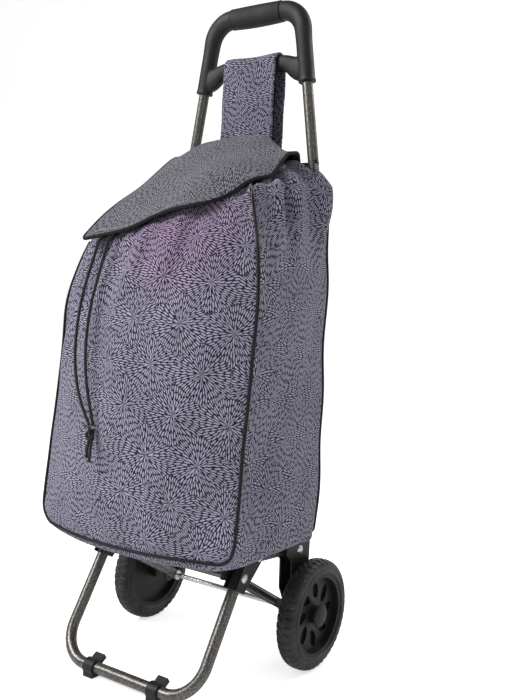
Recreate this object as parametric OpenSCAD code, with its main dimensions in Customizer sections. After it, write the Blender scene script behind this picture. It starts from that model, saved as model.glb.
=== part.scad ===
// Two-wheeled shopping trolley: a folding steel frame, a soft bag and a lid.
// Millimetres. +Z is up, the bag's front faces -Y, +X is to the right of someone who faces it.
// Every piece is drawn about the axle, at y = 0, and place() then centres the object.

/* [Wheels] */
// Outside diameter of a wheel
wheel_d = 160; // [130:1:200]
// Width of a tyre
tyre_w = 29; // [20:1:32]
// Depth of the tyre from tread to hub
tyre_depth = 21.5; // [14:0.5:28]
// Width of a hub at its boss
hub_w = 25; // [18:1:28]
// Leaf-shaped openings in a hub
hub_leaves = 8; // [6:1:10]
// Diameter of the axle
axle_d = 8; // [6:0.5:10]

/* [Frame] */
// Distance between the two upright tubes, middle to middle
tube_gauge = 255.4; // [220:1:320]
// Distance between the upright tubes where they enter the handle
handle_gauge = 191.4; // [160:1:200]
// Outside diameter of the steel tubes
tube_d = 16; // [14:0.5:20]
// Wall of the steel tubes
tube_wall = 1.2; // [1:0.1:2]
// Thickness of the pressed steel brackets
sheet = 2.5; // [1.5:0.1:3]
// Height of the platform above the top of the wheels
deck_gap = 28.3; // [24:1:60]
// Length of a platform rail between its two rivets
rail_reach = 92.9; // [80:1:110]
// Height of a platform rail's section
rail_h = 14; // [10:1:16]
// Width of a platform rail's section
rail_w = 8; // [6:1:9]
// Diameter of the pivot rivets
rivet_d = 6; // [5:0.5:7]

/* [Stand] */
// Lean of the stand's legs from upright
stand_lean = 30; // [24:1:36]
// How far a stand leg's middle sits inside an upright tube's middle
leg_inset = 6.7; // [4:0.1:7.5]
// Radius of the stand's lower corners
stand_bend = 48; // [30:1:70]
// Distance between the two feet, middle to middle
foot_spacing = 116; // [80:1:130]
// Width of a foot clip
foot_w = 17; // [12:1:24]

/* [Handle] */
// Height of the handle's sockets above the platform
socket_rise = 663.7; // [600:1:900]
// Height of the handle, from its sockets to its top
handle_h = 130; // [120:1:150]
// Height of the crossbar's middle above the sockets
crossbar_rise = 32.5; // [28:0.5:40]
// Diameter of the handle's sides
side_d = 24; // [20:1:28]

/* [Bag] */
// Width of the bag at its base
bag_w = 332; // [260:1:400]
// How much wider the bag is in its middle, on each side
bag_side_belly = 15; // [0:1:30]
// Depth of the bag at its base
bag_d = 210; // [170:1:260]
// How far the front of the bag bulges forward
bag_belly = 60; // [10:1:80]
// Height of the front of the bag
bag_front_h = 404; // [340:1:500]
// Height of the back of the bag
bag_back_h = 558; // [480:1:570]
// Thickness of the bag's lined cloth
cloth = 2.5; // [1.5:0.5:4]
// Width of the carrying strap
strap_w = 95; // [60:1:110]
// Length of the lid from its hinge to its lowest corner
lid_reach = 280; // [240:1:320]
// Diameter of the drawcord
cord_d = 4; // [3:0.5:4]

/* [Hidden] */

$fn = 64;
run_fit = 0.06;    // radial clearance of a hole that turns on its pin
seat_fit = 0.05;   // radial clearance of a hole that is held on its pin
side_gap = 0.3;    // gap between flat faces of two bodies
tube_r = tube_d / 2;
axle_r = axle_d / 2;
axle_z = wheel_d / 2;
rivet_r = rivet_d / 2;
head_r = rivet_r + 3.4;
head_h = 2.6;
deck_z = wheel_d + deck_gap;

// Upright tubes and rear brackets, across the width
tube_x = tube_gauge / 2;
rear_inner = tube_x - tube_r - side_gap;
rear_outer = tube_x + tube_r + side_gap;
washer_w = 4;
wheel_x = rear_outer + sheet + washer_w + 2 * side_gap + hub_w / 2;

// Stand legs and front brackets, across the width
leg_x = tube_x - leg_inset;
front_inner = leg_x - tube_r - side_gap;
front_outer = leg_x + tube_r + side_gap;
rail_x = (max(front_inner, rear_inner) + min(front_outer, rear_outer)) / 2;
tab_t = 2.5;
tab_x = front_inner - sheet - side_gap - tab_t;
brace_t = 3.2;
brace_d = 12;
brace_x = tab_x - head_h - side_gap - brace_t;

// Pivots of the folding linkage, as [y, z]
p1 = [-(tube_r + rail_h / 2 + 0.8), deck_z - 14.3];
p2 = p1 + [-rail_reach, 6];
p3 = p2 + [-33.7, -21.3];
p4 = [0, axle_z];
brace_len = norm(p3 - p4);
brace_tilt = atan2(p3[1] - p4[1], p4[0] - p3[0]);

// Stand, in the plane of its legs: down runs from p3 along a leg
foot_r = tube_r + 3;
sole = 2;
bar_z = foot_r + sole;
leg_len = (p3[1] - bar_z) / cos(stand_lean);
bar_y = p3[0] - leg_len * sin(stand_lean);
leg_up = 27;
socket_down = 19;
socket_r = tube_r + 2;
eye_r = rivet_r + 5;    // radius of a pressed end round a rivet

// Handle
socket_z = deck_z + socket_rise;
bend_r = 120;
bend_z = deck_z + socket_rise - 207;
tube_lean = atan2(tube_x - handle_gauge / 2, socket_z - bend_z);
tube_foot_z = axle_z + axle_r + 8;
tube_in_socket = 55;
grip_deep = 27;
grip_high = 32;
grip_z = socket_z + handle_h - grip_high / 2;
crossbar_z = socket_z + crossbar_rise;
crossbar_high = 23;
crossbar_deep = 20;
corner_r = 38;

// Bag
floor_bottom = deck_z;
board_t = 3;
wall_z = floor_bottom + cloth + side_gap;
back_y = tube_r + 4;
front_z = wall_z + bag_front_h;
rear_z = wall_z + bag_back_h;
belly_z = wall_z + 208;
wide_z = wall_z + 350;
front_fall = 25;
top_narrow = 31;
base_corner = 40;
shoulder = [52, 28.4];  // the front's top edge turns back and up by this much
hem_r = 5;

// Lid
lid_t = 3;
hinge_y = -(back_y + 6);
hinge_z = rear_z + 3;
lid_slope = 32;
lid_half = bag_w / 2 - 14;

// The whole object is centred on its origin
front_reach = max(back_y + bag_d + bag_belly, -bar_y + foot_r);
axle_y = (front_reach - wheel_d / 2) / 2;

steel = "#5b5753";
black = "#1c1c1e";
zinc = "#c9ccd0";
fabric = "#5d5b70";

module place() { translate([0, axle_y, 0]) children(); }
module on_side(s) { mirror([s < 0 ? 1 : 0, 0, 0]) children(); }

// A solid whose outline is drawn in Y and Z, between two places along X
module slab_x(x0, x1) {
  translate([x0, 0, 0]) rotate([90, 0, 90]) linear_extrude(height = x1 - x0) children();
}
// A solid whose outline is drawn in X and Z, between two places along Y
module slab_y(y0, y1) {
  translate([0, y1, 0]) rotate([90, 0, 0]) linear_extrude(height = y1 - y0) children();
}
// A round bar along X, at [y, z]
module bar_x(at, x0, x1, r) {
  translate([x0, at[0], at[1]]) rotate([0, 90, 0]) cylinder(h = x1 - x0, r = r);
}
function arc(c, r, a0, a1, n) =
  [for (i = [0:n]) c + r * [cos(a0 + (a1 - a0) * i / n), sin(a0 + (a1 - a0) * i / n)]];
function oval(w, h, n, power) = [for (i = [0:n - 1]) let (a = 360 * i / n)
  [w / 2 * sign(cos(a)) * pow(abs(cos(a)), power), h / 2 * sign(sin(a)) * pow(abs(sin(a)), power)]];

// ---- Wheels ----
hub_r = wheel_d / 2 - tyre_depth;
rim_wall = 4;
web_t = 6;
leaf_floor = 1.2;      // skin that closes the leaf recesses behind
boss_r = axle_r + 9;
cap_r = 17;
cap_h = 5;

module at_axle_end(s) { place() on_side(s) translate([wheel_x, 0, axle_z]) rotate([0, 90, 0]) children(); }

// The tyre's section: a crowned tread with rounded shoulders
module tyre(s) {
  shoulder = 8;
  half = tyre_w / 2;
  crown = 1.5;
  section = concat(
    [[hub_r, -hub_w / 2], [hub_r + 3, -half + 1]],
    arc([wheel_d / 2 - crown - shoulder, -half + shoulder], shoulder, -90, -8, 6),
    [[wheel_d / 2, 0]],
    arc([wheel_d / 2 - crown - shoulder, half - shoulder], shoulder, 8, 90, 6),
    [[hub_r + 3, half - 1], [hub_r, hub_w / 2]]);
  color(black) at_axle_end(s) rotate_extrude($fn = 96) polygon(section);
}

// A leaf is the overlap of two circles, leaning off the radius
module leaf() {
  leaf_len = 29;
  leaf_w = 15;
  r = (pow(leaf_len / 2, 2) + pow(leaf_w / 2, 2)) / leaf_w;
  translate([(boss_r + hub_r - rim_wall) / 2 + 2, 0]) rotate(24) intersection() {
    translate([0, r - leaf_w / 2]) circle(r);
    translate([0, leaf_w / 2 - r]) circle(r);
  }
}
module hub(s) {
  color("#2b2a2a") at_axle_end(s) difference() {
    union() {
      difference() {
        cylinder(h = hub_w, r = hub_r, center = true);
        cylinder(h = hub_w + 2, r = hub_r - rim_wall, center = true);
      }
      linear_extrude(height = web_t, center = true) difference() {
        circle(hub_r - rim_wall / 2);
        for (i = [0:hub_leaves - 1]) rotate(360 / hub_leaves * i) leaf();
      }
      translate([0, 0, -web_t / 2]) cylinder(h = leaf_floor, r = hub_r - rim_wall / 2);
      cylinder(h = hub_w, r = boss_r, center = true);
    }
    cylinder(h = hub_w + 2, r = axle_r + run_fit, center = true);
  }
}
// A domed cap, hollow over the end of the axle
module hub_cap(s) {
  skin = 1.5;
  color("#333335") at_axle_end(s) translate([0, 0, hub_w / 2]) rotate_extrude() polygon(concat(
    [[cap_r, 0]], [for (i = [1:6]) [cap_r * cos(15 * i), 1 + cap_h * sin(15 * i)]],
    [[0, 1 + cap_h - skin], [axle_r + 1, 1 + cap_h - 2 * skin], [axle_r + 1, 0]]));
}

// ---- Axle ----
module axle() {
  end = wheel_x + hub_w / 2 + 1;
  color(zinc) place() bar_x(p4, -end, end, axle_r);
}
module axle_ring(x0, x1, r) {
  difference() {
    bar_x(p4, x0, x1, r);
    bar_x(p4, x0 - 1, x1 + 1, axle_r + seat_fit);
  }
}
module axle_washers() {
  x0 = rear_outer + sheet + side_gap;
  color(black) place() for (s = [-1, 1]) on_side(s) axle_ring(x0, x0 + washer_w, axle_r + 5);
}
module axle_clips() {
  x1 = brace_x - side_gap;
  color(zinc) place() for (s = [-1, 1]) on_side(s) axle_ring(x1 - 2, x1, axle_r + 3.5);
}

// ---- Rear brackets: a channel round the foot of an upright tube ----
cheek_front = -50;      // the cheek's foremost edge
cheek_rise = 12;        // its top edge stands this far above the pivot
axle_eye_r = axle_r + 9;
module rear_cheek() {
  web_y = tube_r + side_gap + sheet;
  top = p1[1] + cheek_rise;
  chamfer = 3;
  waist = 14;
  taper = 38;
  difference() {
    union() {
      polygon([[cheek_front, top - chamfer], [cheek_front + chamfer, top], [web_y, top], [web_y, p4[1]],
        [-axle_eye_r, p4[1]], [cheek_front + waist + 2, p4[1] + taper], [cheek_front + waist, p1[1] - waist],
        [cheek_front, p1[1] - 1]]);
      translate(p4) circle(axle_eye_r);
    }
    translate(p1) circle(rivet_r + seat_fit);
    translate(p4) circle(axle_r + seat_fit);
  }
}
module rear_bracket(s) {
  color(black) place() on_side(s) {
    slab_x(rear_inner - sheet, rear_inner) rear_cheek();
    slab_x(rear_outer, rear_outer + sheet) rear_cheek();
    translate([rear_inner, tube_r + side_gap, tube_foot_z])
      cube([rear_outer - rear_inner, sheet, p1[1] + cheek_rise - tube_foot_z]);
  }
}

// ---- Upright tubes: straight, one bend, then leaning in to the handle ----
// A straight run that meets a bend of radius big at an angle; below zero it runs the other way
module bent_end(big, angle, run, r) {
  lap = 0.02;
  rotate([0, 0, angle]) translate([big, run < 0 ? lap : -lap, 0]) rotate([run < 0 ? 90 : -90, 0, 0])
    cylinder(h = abs(run) + lap, r = r);
}
module tube_run(r, extra) {
  set_back = bend_r * tan(tube_lean / 2);
  upper = (socket_z - bend_z) / cos(tube_lean) - set_back + tube_in_socket;
  translate([tube_x - bend_r, 0, bend_z - set_back]) rotate([90, 0, 0]) {
    bent_end(bend_r, 0, tube_foot_z - bend_z + set_back - extra, r);
    rotate_extrude(angle = tube_lean) translate([bend_r, 0]) circle(r);
    bent_end(bend_r, tube_lean, upper + extra, r);
  }
}
module tube(s) {
  color(steel) place() on_side(s) difference() {
    tube_run(tube_r, 0);
    tube_run(tube_r - tube_wall, 1);
  }
}
// A rivet through a bracket: a shank and two domed heads
module rivet(at, x0, x1) {
  bar_x(at, x0, x1, rivet_r);
  for (end = [[x0, -90], [x1, 90]]) translate([end[0], at[0], at[1]]) rotate([0, end[1], 0])
    rivet_head();
}
module rivet_head() {
  rotate_extrude() polygon(concat([[0, 0]], [for (i = [0:5]) [head_r * cos(18 * i), head_h * sin(18 * i)]]));
}
module frame_rivets() {
  color(zinc) place() for (s = [-1, 1]) on_side(s) rivet(p1, rear_inner - sheet, rear_outer + sheet);
}

// ---- Handle ----
module handle_side() {
  side_len = (grip_z - corner_r - socket_z + corner_r * sin(tube_lean)) / cos(tube_lean);
  top = [handle_gauge / 2, socket_z] + side_len * [-sin(tube_lean), cos(tube_lean)];
  centre = top - corner_r * [cos(tube_lean), sin(tube_lean)];
  translate([centre[0], 0, centre[1]]) rotate([90, 0, 0]) {
    bent_end(corner_r, tube_lean, -side_len, side_d / 2);
    rotate([0, 0, tube_lean]) rotate_extrude(angle = 90 - tube_lean) translate([corner_r, 0])
      circle(side_d / 2);
    bent_end(corner_r, 90, centre[0], side_d / 2);
  }
}
module handle() {
  half = handle_gauge / 2;
  low = crossbar_z - crossbar_high / 2;
  high = crossbar_z + crossbar_high / 2;
  web = 34;             // how far the arched webs reach in along the crossbar
  color(black) place() difference() {
    union() {
      for (s = [-1, 1]) on_side(s) handle_side();
      slab_x(8 - half, half - 8)
        translate([0, crossbar_z]) polygon(oval(crossbar_deep, crossbar_high, 24, 0.75));
      for (s = [-1, 1]) on_side(s) slab_y(-crossbar_deep / 2, crossbar_deep / 2)
        polygon([[half - web, low], [half - 0.7 * web, low - 5], [half - 0.47 * web, low - 13],
          [half - side_d / 2 - 1, socket_z], [half, socket_z], [half - side_d / 3, high + 2],
          [half - 0.65 * web, high]]);
    }
    for (s = [-1, 1]) on_side(s) translate([half, 0, socket_z]) rotate([0, -tube_lean, 0])
      translate([0, 0, -5]) cylinder(h = tube_in_socket + 5.5, r = tube_r + seat_fit);
    slab_x(-grip_half - 1, grip_half + 1) translate([0, grip_z]) circle(side_d);
    translate([-half - side_d, -side_d, socket_z - 20]) cube([2 * half + 2 * side_d, 2 * side_d, 20]);
  }
}
grip_half = handle_gauge / 2 - corner_r - 12;
// The soft grip is a core and a sleeve over it, between the two corners
module grip_sleeve() {
  color("#141416") place() slab_x(-grip_half - 1, grip_half + 1)
    translate([0, grip_z]) polygon(oval(grip_deep, grip_high, 32, 0.8));
}

// ---- Platform ----
module rail(s) {
  turn = atan2(p2[1] - p1[1], p2[0] - p1[0]);
  color(steel) place() on_side(s) slab_x(rail_x - rail_w / 2, rail_x + rail_w / 2) difference() {
    polygon(concat(arc(p2, rail_h / 2, turn - 90, turn + 90, 14),
      arc(p1, rail_h / 2, turn + 90, turn + 270, 14)));
    translate(p1) circle(rivet_r + run_fit);
    translate(p2) circle(rivet_r + run_fit);
  }
}
module platform_rivets() {
  color(zinc) place() for (s = [-1, 1]) on_side(s)
    rivet(p2, front_inner - sheet - side_gap, front_outer + sheet + side_gap);
}
// The stiff board narrows at the back to pass between the rear brackets
module base_board() {
  back = -(back_y + cloth + 5);
  front = -(back_y + bag_d - cloth - 6);
  narrow = rear_inner - sheet - 3;
  wide = bag_w / 2 - cloth - 8;
  corner = base_corner - 4;
  step = 60;            // length of the narrow stretch between the brackets
  color("#24242a") place() translate([0, 0, wall_z - side_gap]) linear_extrude(height = board_t)
    polygon([[-narrow, back], [-narrow, back - step], [-wide, back - step - 15],
      [-wide, front + corner], [-wide + corner, front], [wide - corner, front], [wide, front + corner],
      [wide, back - step - 15], [narrow, back - step], [narrow, back]]);
}

// ---- Stand ----
// Draws its children with X across and Y up along a leg, from pivot p3
module leg_plane() { translate([0, p3[0], p3[1]]) rotate([90 - stand_lean, 0, 0]) children(); }
module front_cheek() {
  up = [sin(stand_lean), cos(stand_lean)];
  ahead = [-cos(stand_lean), sin(stand_lean)];
  difference() {
    union() {
      translate(p2) circle(eye_r);
      polygon([p2 + [1, eye_r - 0.1], p3 + leg_up * up + socket_r * ahead,
        p3 - socket_down * up + socket_r * ahead, p3 - socket_down * up - socket_r * ahead, p2 + [6, -5.3]]);
    }
    translate(p2) circle(rivet_r + run_fit);
    translate(p3) circle(rivet_r + seat_fit);
  }
}
module front_bracket(s) {
  color(black) place() on_side(s) difference() {
    union() {
      slab_x(front_inner - sheet, front_inner) front_cheek();
      slab_x(front_outer, front_outer + sheet) front_cheek();
      leg_plane() translate([leg_x, -socket_down, 0]) rotate([-90, 0, 0])
        cylinder(h = leg_up + socket_down, r = socket_r);
    }
    leg_plane() translate([leg_x, -socket_down - 1, 0]) rotate([-90, 0, 0])
      cylinder(h = leg_up + socket_down + 2, r = tube_r + seat_fit);
    bar_x(p3, front_inner - sheet - 1, front_outer + sheet + 1, rivet_r + seat_fit);
  }
}
module stand_run(r, extra) {
  leg_bottom = stand_bend - leg_len;
  for (s = [-1, 1]) on_side(s) {
    translate([leg_x, leg_bottom, 0]) rotate([-90, 0, 0])
      cylinder(h = leg_up - 1 - leg_bottom + extra, r = r);
    translate([leg_x - stand_bend, leg_bottom, 0]) rotate([0, 0, -90])
      rotate_extrude(angle = 90) translate([stand_bend, 0]) circle(r);
  }
  translate([stand_bend - leg_x, -leg_len, 0]) rotate([0, 90, 0])
    cylinder(h = 2 * (leg_x - stand_bend), r = r);
}
module stand_tube() {
  color(steel) place() difference() {
    leg_plane() stand_run(tube_r, 0);
    leg_plane() stand_run(tube_r - tube_wall, 1);
    for (s = [-1, 1]) on_side(s) bar_x(p3, front_inner, front_outer, rivet_r + seat_fit);
  }
}
// A bar across the stand, joined at each end to a tab under the rivet's head
module stand_cross_bar() {
  bar = p3 + [-17, 4];
  bar_r = 5;
  end_r = bar_r + 2;
  color(steel) place() {
    bar_x(bar, -tab_x, tab_x, bar_r);
    for (s = [-1, 1]) on_side(s) slab_x(tab_x, tab_x + tab_t) difference() {
      union() {
        translate(p3) circle(eye_r);
        translate(bar) circle(end_r);
        polygon([p3 + [0, eye_r], bar + [0, end_r], bar - [0, end_r], p3 - [0, eye_r]]);
      }
      translate(p3) circle(rivet_r + seat_fit);
    }
  }
}
module stand_rivets() {
  color(zinc) place() for (s = [-1, 1]) on_side(s) rivet(p3, tab_x, front_outer + sheet);
}
// A clip round the stand's bottom bar, with a flat sole and a tab behind
module foot(s) {
  at = [bar_y, bar_z];
  tab = 7;
  color(black) place() on_side(s) slab_x(foot_spacing / 2 - foot_w / 2, foot_spacing / 2 + foot_w / 2)
    difference() {
      union() {
        translate(at) circle(foot_r);
        translate([bar_y - foot_r + 2, 0]) square([2 * foot_r - 4, bar_z]);
        translate(at) rotate(35) translate([0, -tab / 2]) square([foot_r + tab + 2, tab]);
      }
      translate(at) circle(tube_r + seat_fit);
    }
}

// ---- Braces: flattened tubes from the axle to the front brackets ----
module brace(s) {
  x1 = brace_x + brace_t;
  flat = 28;            // length of each flattened end
  flat_h = 2 * eye_r - 2;
  color(steel) place() on_side(s) difference() {
    union() {
      for (p = [p3, p4]) bar_x(p, brace_x, x1, eye_r);
      translate([brace_x, p3[0], p3[1]]) rotate([-brace_tilt, 0, 0]) {
        translate([0, 0, -flat_h / 2]) cube([brace_t, brace_len, flat_h]);
        translate([brace_t / 2, flat, 0]) rotate([-90, 0, 0])
          cylinder(h = brace_len - 2 * flat, r = brace_d / 2);
      }
    }
    bar_x(p4, brace_x - 1, x1 + 1, axle_r + run_fit);
    bar_x(p3, brace_x - 1, x1 + 1, rivet_r + seat_fit);
  }
}
// The brace's own half of the front pivot: a stub with one head
module brace_rivets() {
  color(zinc) place() for (s = [-1, 1]) on_side(s) {
    bar_x(p3, brace_x, brace_x + brace_t, rivet_r);
    translate([brace_x, p3[0], p3[1]]) rotate([0, -90, 0]) rivet_head();
  }
}

// ---- Bag ----
// The front bulges most at belly_z, the sides at wide_z
function bulge(z, low, mid, high, rise, fall) = z < mid
  ? rise * (1 - pow((mid - z) / (mid - low), 2))
  : rise - fall * pow((z - mid) / (high - mid), 2);
function front_at(z) = -(back_y + bag_d + bulge(z, wall_z, belly_z, front_z, bag_belly, front_fall));
function half_at(z) = bag_w / 2 + bulge(z, wall_z, wide_z, rear_z, bag_side_belly, top_narrow);
function steps(a, b, n) = [for (i = [0:n]) a + (b - a) * i / n];
front_steps = concat(steps(wall_z, belly_z, 5), [for (z = steps(belly_z, front_z, 4)) if (z > belly_z) z]);
side_steps = concat(steps(wall_z, wide_z, 5), [for (z = steps(wide_z, rear_z, 4)) if (z > wide_z) z]);
function front_curve(inset) = concat(
  [for (z = front_steps) [front_at(z) + inset, z < front_z ? z : z - inset / 2]],
  [[front_at(front_z) + shoulder[0] + inset / 2, front_z + shoulder[1] - 0.9 * inset]]);
function side_curve(inset) = [for (z = side_steps) [half_at(z) - inset, z]];
function back_to_front(list) = [for (i = [len(list) - 1:-1:0]) list[i]];

// All that lies inside the bag's width
module within_width() {
  slab_y(-front_reach - 1, 0)
    polygon(concat(side_curve(0), back_to_front([for (p = side_curve(0)) [-p[0], p[1]]])));
}
module bag_front() {
  color(fabric) place() intersection() {
    slab_x(-bag_w, bag_w) polygon(concat(front_curve(0), back_to_front(front_curve(cloth))));
    within_width();
  }
}
module bag_side(s) {
  color(fabric) place() on_side(s) intersection() {
    slab_y(-front_reach - 1, 0) polygon(concat(side_curve(0), back_to_front(side_curve(cloth))));
    slab_x(0, bag_w) polygon(concat(front_curve(cloth),
      [[-(back_y + cloth), rear_z], [-(back_y + cloth), wall_z]]));
  }
}
module bag_back() {
  color(fabric) place() intersection() {
    translate([-bag_w, -(back_y + cloth), wall_z]) cube([2 * bag_w, cloth, bag_back_h]);
    within_width();
  }
}
module bag_floor() {
  half = bag_w / 2;
  front = -(back_y + bag_d);
  color(fabric) place() translate([0, 0, floor_bottom]) linear_extrude(height = cloth) polygon(concat(
    [[-half, -back_y], [-half, front + base_corner]],
    [[-half + base_corner, front], [half - base_corner, front]],
    [[half, front + base_corner], [half, -back_y]]));
}
// A flat tunnel of cloth on the bag's back, which the upright tubes pass through
module tube_sleeve() {
  sleeve_low = wall_z + 240;
  half = tube_x + tube_r + 9;
  deep = tube_r + 2.5;
  color(fabric) place() translate([0, 0, sleeve_low]) linear_extrude(height = rear_z - 15 - sleeve_low)
    polygon([[-half, -back_y], [-half + 5, deep + cloth], [half - 5, deep + cloth], [half, -back_y],
      [half - cloth, -back_y], [half - cloth - 5, deep], [-half + cloth + 5, deep],
      [-half + cloth, -back_y]]);
}
// A loop of cloth over the handle's crossbar
module strap() {
  inner = crossbar_high / 2 + 1;
  outer = inner + cloth;
  low = rear_z + 1;
  color(fabric) place() slab_x(-strap_w / 2, strap_w / 2) polygon(concat(
    [[outer, low]], arc([0, crossbar_z], outer, 0, 180, 16), [[-outer, low], [-inner, low]],
    arc([0, crossbar_z], inner, 180, 0, 16), [[inner, low]]));
}

// ---- Lid: a stiff flap, longest at its left front corner ----
module lid_plane() { translate([0, hinge_y, hinge_z]) rotate([lid_slope, 0, 0]) children(); }
module lid_outline(inset) {
  half = lid_half - inset;
  rear = 0.74 * lid_half - inset;
  tip_r = 14;
  broad_r = 62;
  polygon(concat([[-rear, -inset], [-0.6 * lid_half + inset, -lid_reach * 0.7]],
    arc([-0.54 * lid_half + inset + tip_r, -lid_reach + inset + tip_r], tip_r, 190, 262, 4),
    arc([half - broad_r - 14, -lid_reach + inset + broad_r + 12], broad_r, 275, 350, 7),
    [[half - 12, -lid_reach * 0.3], [rear, -inset]]));
}
module lid() {
  color(fabric) place() lid_plane() linear_extrude(height = lid_t) difference() {
    lid_outline(0);
    lid_outline(20);
  }
  color(fabric) place() lid_plane() linear_extrude(height = 0.8) lid_outline(20);
}
module lid_stiffener() {
  color("#3c3a48") place() lid_plane() translate([0, 0, 1]) linear_extrude(height = lid_t - 1)
    lid_outline(20.5);
}

// ---- Drawcord ----
cord_r = cord_d / 2;
// Routes from the hem to the knot, as [x, in front of the bag's base, z]
route_left = [[-47, -19, 628.5], [-47, -8.5, 623], [-47, 4, 616], [-47, 16, 609.5], [-47.5, 28.5, 603],
  [-48, 38.5, 596.5], [-49, 42, 585], [-51, 46, 568], [-55, 50.5, 545], [-58, 56, 515], [-59, 60.5, 480],
  [-57, 63.5, 445], [-50, 65, 410], [-38, 65, 380], [-23.5, 65, 357]];
route_right = [[-31, -19, 628.5], [-31, -8.5, 623], [-31, 4, 616], [-31, 16, 609.5], [-31, 28.5, 603],
  [-31, 38.5, 596.5], [-31.5, 42, 585], [-33, 46, 568], [-36, 50.5, 545], [-39, 56, 515],
  [-40, 60.5, 480], [-38, 63.5, 445], [-32, 65, 410], [-24, 65, 380], [-16.5, 65, 357]];
tails = [[[-22.5, 66, 336], [-23.5, 67, 326], [-24, 67, 315]],
  [[-17.5, 66, 336], [-18, 67, 324], [-19, 67, 310]]];
knot_at = [-20, 66, 346];
knot_h = 22;

function cord_point(p) = [p[0], -(back_y + bag_d + p[1]), p[2]];
// A smooth curve through the route's points, two steps to a span
function curve(p) = [for (i = [0:len(p) - 2]) for (k = [0:(i == len(p) - 2 ? 2 : 1)])
  let (t = k / 2, a = p[max(i - 1, 0)], b = p[i], c = p[i + 1], d = p[min(i + 2, len(p) - 1)])
  b + t / 2 * (c - a) + t * t * (a - 2.5 * b + 2 * c - d / 2) + t * t * t * (1.5 * (b - c) + (d - a) / 2)];
function ring(at, dir, r) = let (d = dir / norm(dir), side = cross(d, [0, 1, 0]), s = side / norm(side),
  u = cross(s, d)) [for (k = [0:7]) at + r * (cos(45 * k) * s + sin(45 * k) * u)];
module sweep(route, r) {
  path = curve([for (p = route) cord_point(p)]);
  last = len(path) - 1;
  rings = [for (i = [0:last]) ring(path[i], path[min(i + 1, last)] - path[max(i - 1, 0)], r)];
  polyhedron(points = [for (one = rings) each one], faces = concat(
    [[for (k = [0:7]) 7 - k]], [[for (k = [0:7]) 8 * last + k]],
    [for (i = [0:last - 1]) for (k = [0:7])
      [8 * i + k, 8 * i + (k + 1) % 8, 8 * (i + 1) + (k + 1) % 8, 8 * (i + 1) + k]]));
}
module drawcord_left() { color(black) place() sweep(route_left, cord_r); }
module drawcord_right() { color(black) place() sweep(route_right, cord_r); }
module cord_knot() {
  color(black) place() {
    for (tail = tails) sweep(tail, cord_r);
    translate(cord_point(knot_at)) cylinder(h = knot_h, r1 = 6.2, r2 = 5, center = true);
  }
}
// The rolled hem at the mouth's front edge, which the cord comes out of
module mouth_hem() {
  at = [front_at(front_z) + shoulder[0] + hem_r + 4 * side_gap, front_z + shoulder[1] + 0.5];
  hem_half = half_at(front_z) - 56;
  color(fabric) place() bar_x(at, -hem_half, hem_half, hem_r);
}

tyre(-1);  // tyre_left
tyre(1);  // tyre_right
hub(-1);  // hub_left
hub(1);  // hub_right
hub_cap(-1);  // hub_cap_left
hub_cap(1);  // hub_cap_right
axle();
axle_washers();
axle_clips();
rear_bracket(-1);  // rear_bracket_left
rear_bracket(1);  // rear_bracket_right
tube(-1);  // tube_left
tube(1);  // tube_right
frame_rivets();
handle();
grip_sleeve();
rail(-1);  // rail_left
rail(1);  // rail_right
platform_rivets();
base_board();
bag_floor();
front_bracket(-1);  // front_bracket_left
front_bracket(1);  // front_bracket_right
stand_tube();
stand_cross_bar();
stand_rivets();
foot(-1);  // foot_left
foot(1);  // foot_right
brace(-1);  // brace_left
brace(1);  // brace_right
brace_rivets();
bag_front();
bag_back();
bag_side(-1);  // bag_side_left
bag_side(1);  // bag_side_right
tube_sleeve();
strap();
lid();
lid_stiffener();
mouth_hem();
drawcord_left();
drawcord_right();
cord_knot();
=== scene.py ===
# Shopping trolley: cloth, handle, tyres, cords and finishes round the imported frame.
import math

import bmesh
import bpy
import numpy as np
from mathutils import Matrix, Vector


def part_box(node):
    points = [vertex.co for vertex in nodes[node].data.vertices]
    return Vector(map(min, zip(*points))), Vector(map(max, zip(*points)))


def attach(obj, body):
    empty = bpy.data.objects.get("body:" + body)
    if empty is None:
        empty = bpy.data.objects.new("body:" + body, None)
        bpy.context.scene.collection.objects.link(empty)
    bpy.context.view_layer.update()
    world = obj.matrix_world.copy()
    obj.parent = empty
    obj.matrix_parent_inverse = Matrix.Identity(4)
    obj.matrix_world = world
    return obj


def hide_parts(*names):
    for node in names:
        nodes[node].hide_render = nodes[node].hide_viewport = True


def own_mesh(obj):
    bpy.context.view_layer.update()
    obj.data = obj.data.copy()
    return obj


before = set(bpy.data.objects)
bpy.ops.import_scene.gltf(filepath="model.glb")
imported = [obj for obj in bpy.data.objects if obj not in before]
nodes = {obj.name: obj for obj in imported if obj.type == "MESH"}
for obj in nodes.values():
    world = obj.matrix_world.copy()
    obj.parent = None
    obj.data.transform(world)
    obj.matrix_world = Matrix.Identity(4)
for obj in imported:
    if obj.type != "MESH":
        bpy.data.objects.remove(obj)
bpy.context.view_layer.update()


def middle(name):
    low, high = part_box(name)
    return (low + high) / 2


# Places that the frame gives. Depths below are counted from the axle, forward is minus.
axle = middle("axle")
sleeveLow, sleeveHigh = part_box("tube_sleeve")
strapLow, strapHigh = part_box("strap")
print("frame loaded, axle at", round(axle.y, 4))


# ---- Camera ----
cameraSet = {"place": (0.7706, -1.0611, 0.5144), "yaw": 0.5996, "pitch": -0.0444, "roll": 0.0549,
             "focal": 851.1, "longSide": 700, "sensor": 36.0}


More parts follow.
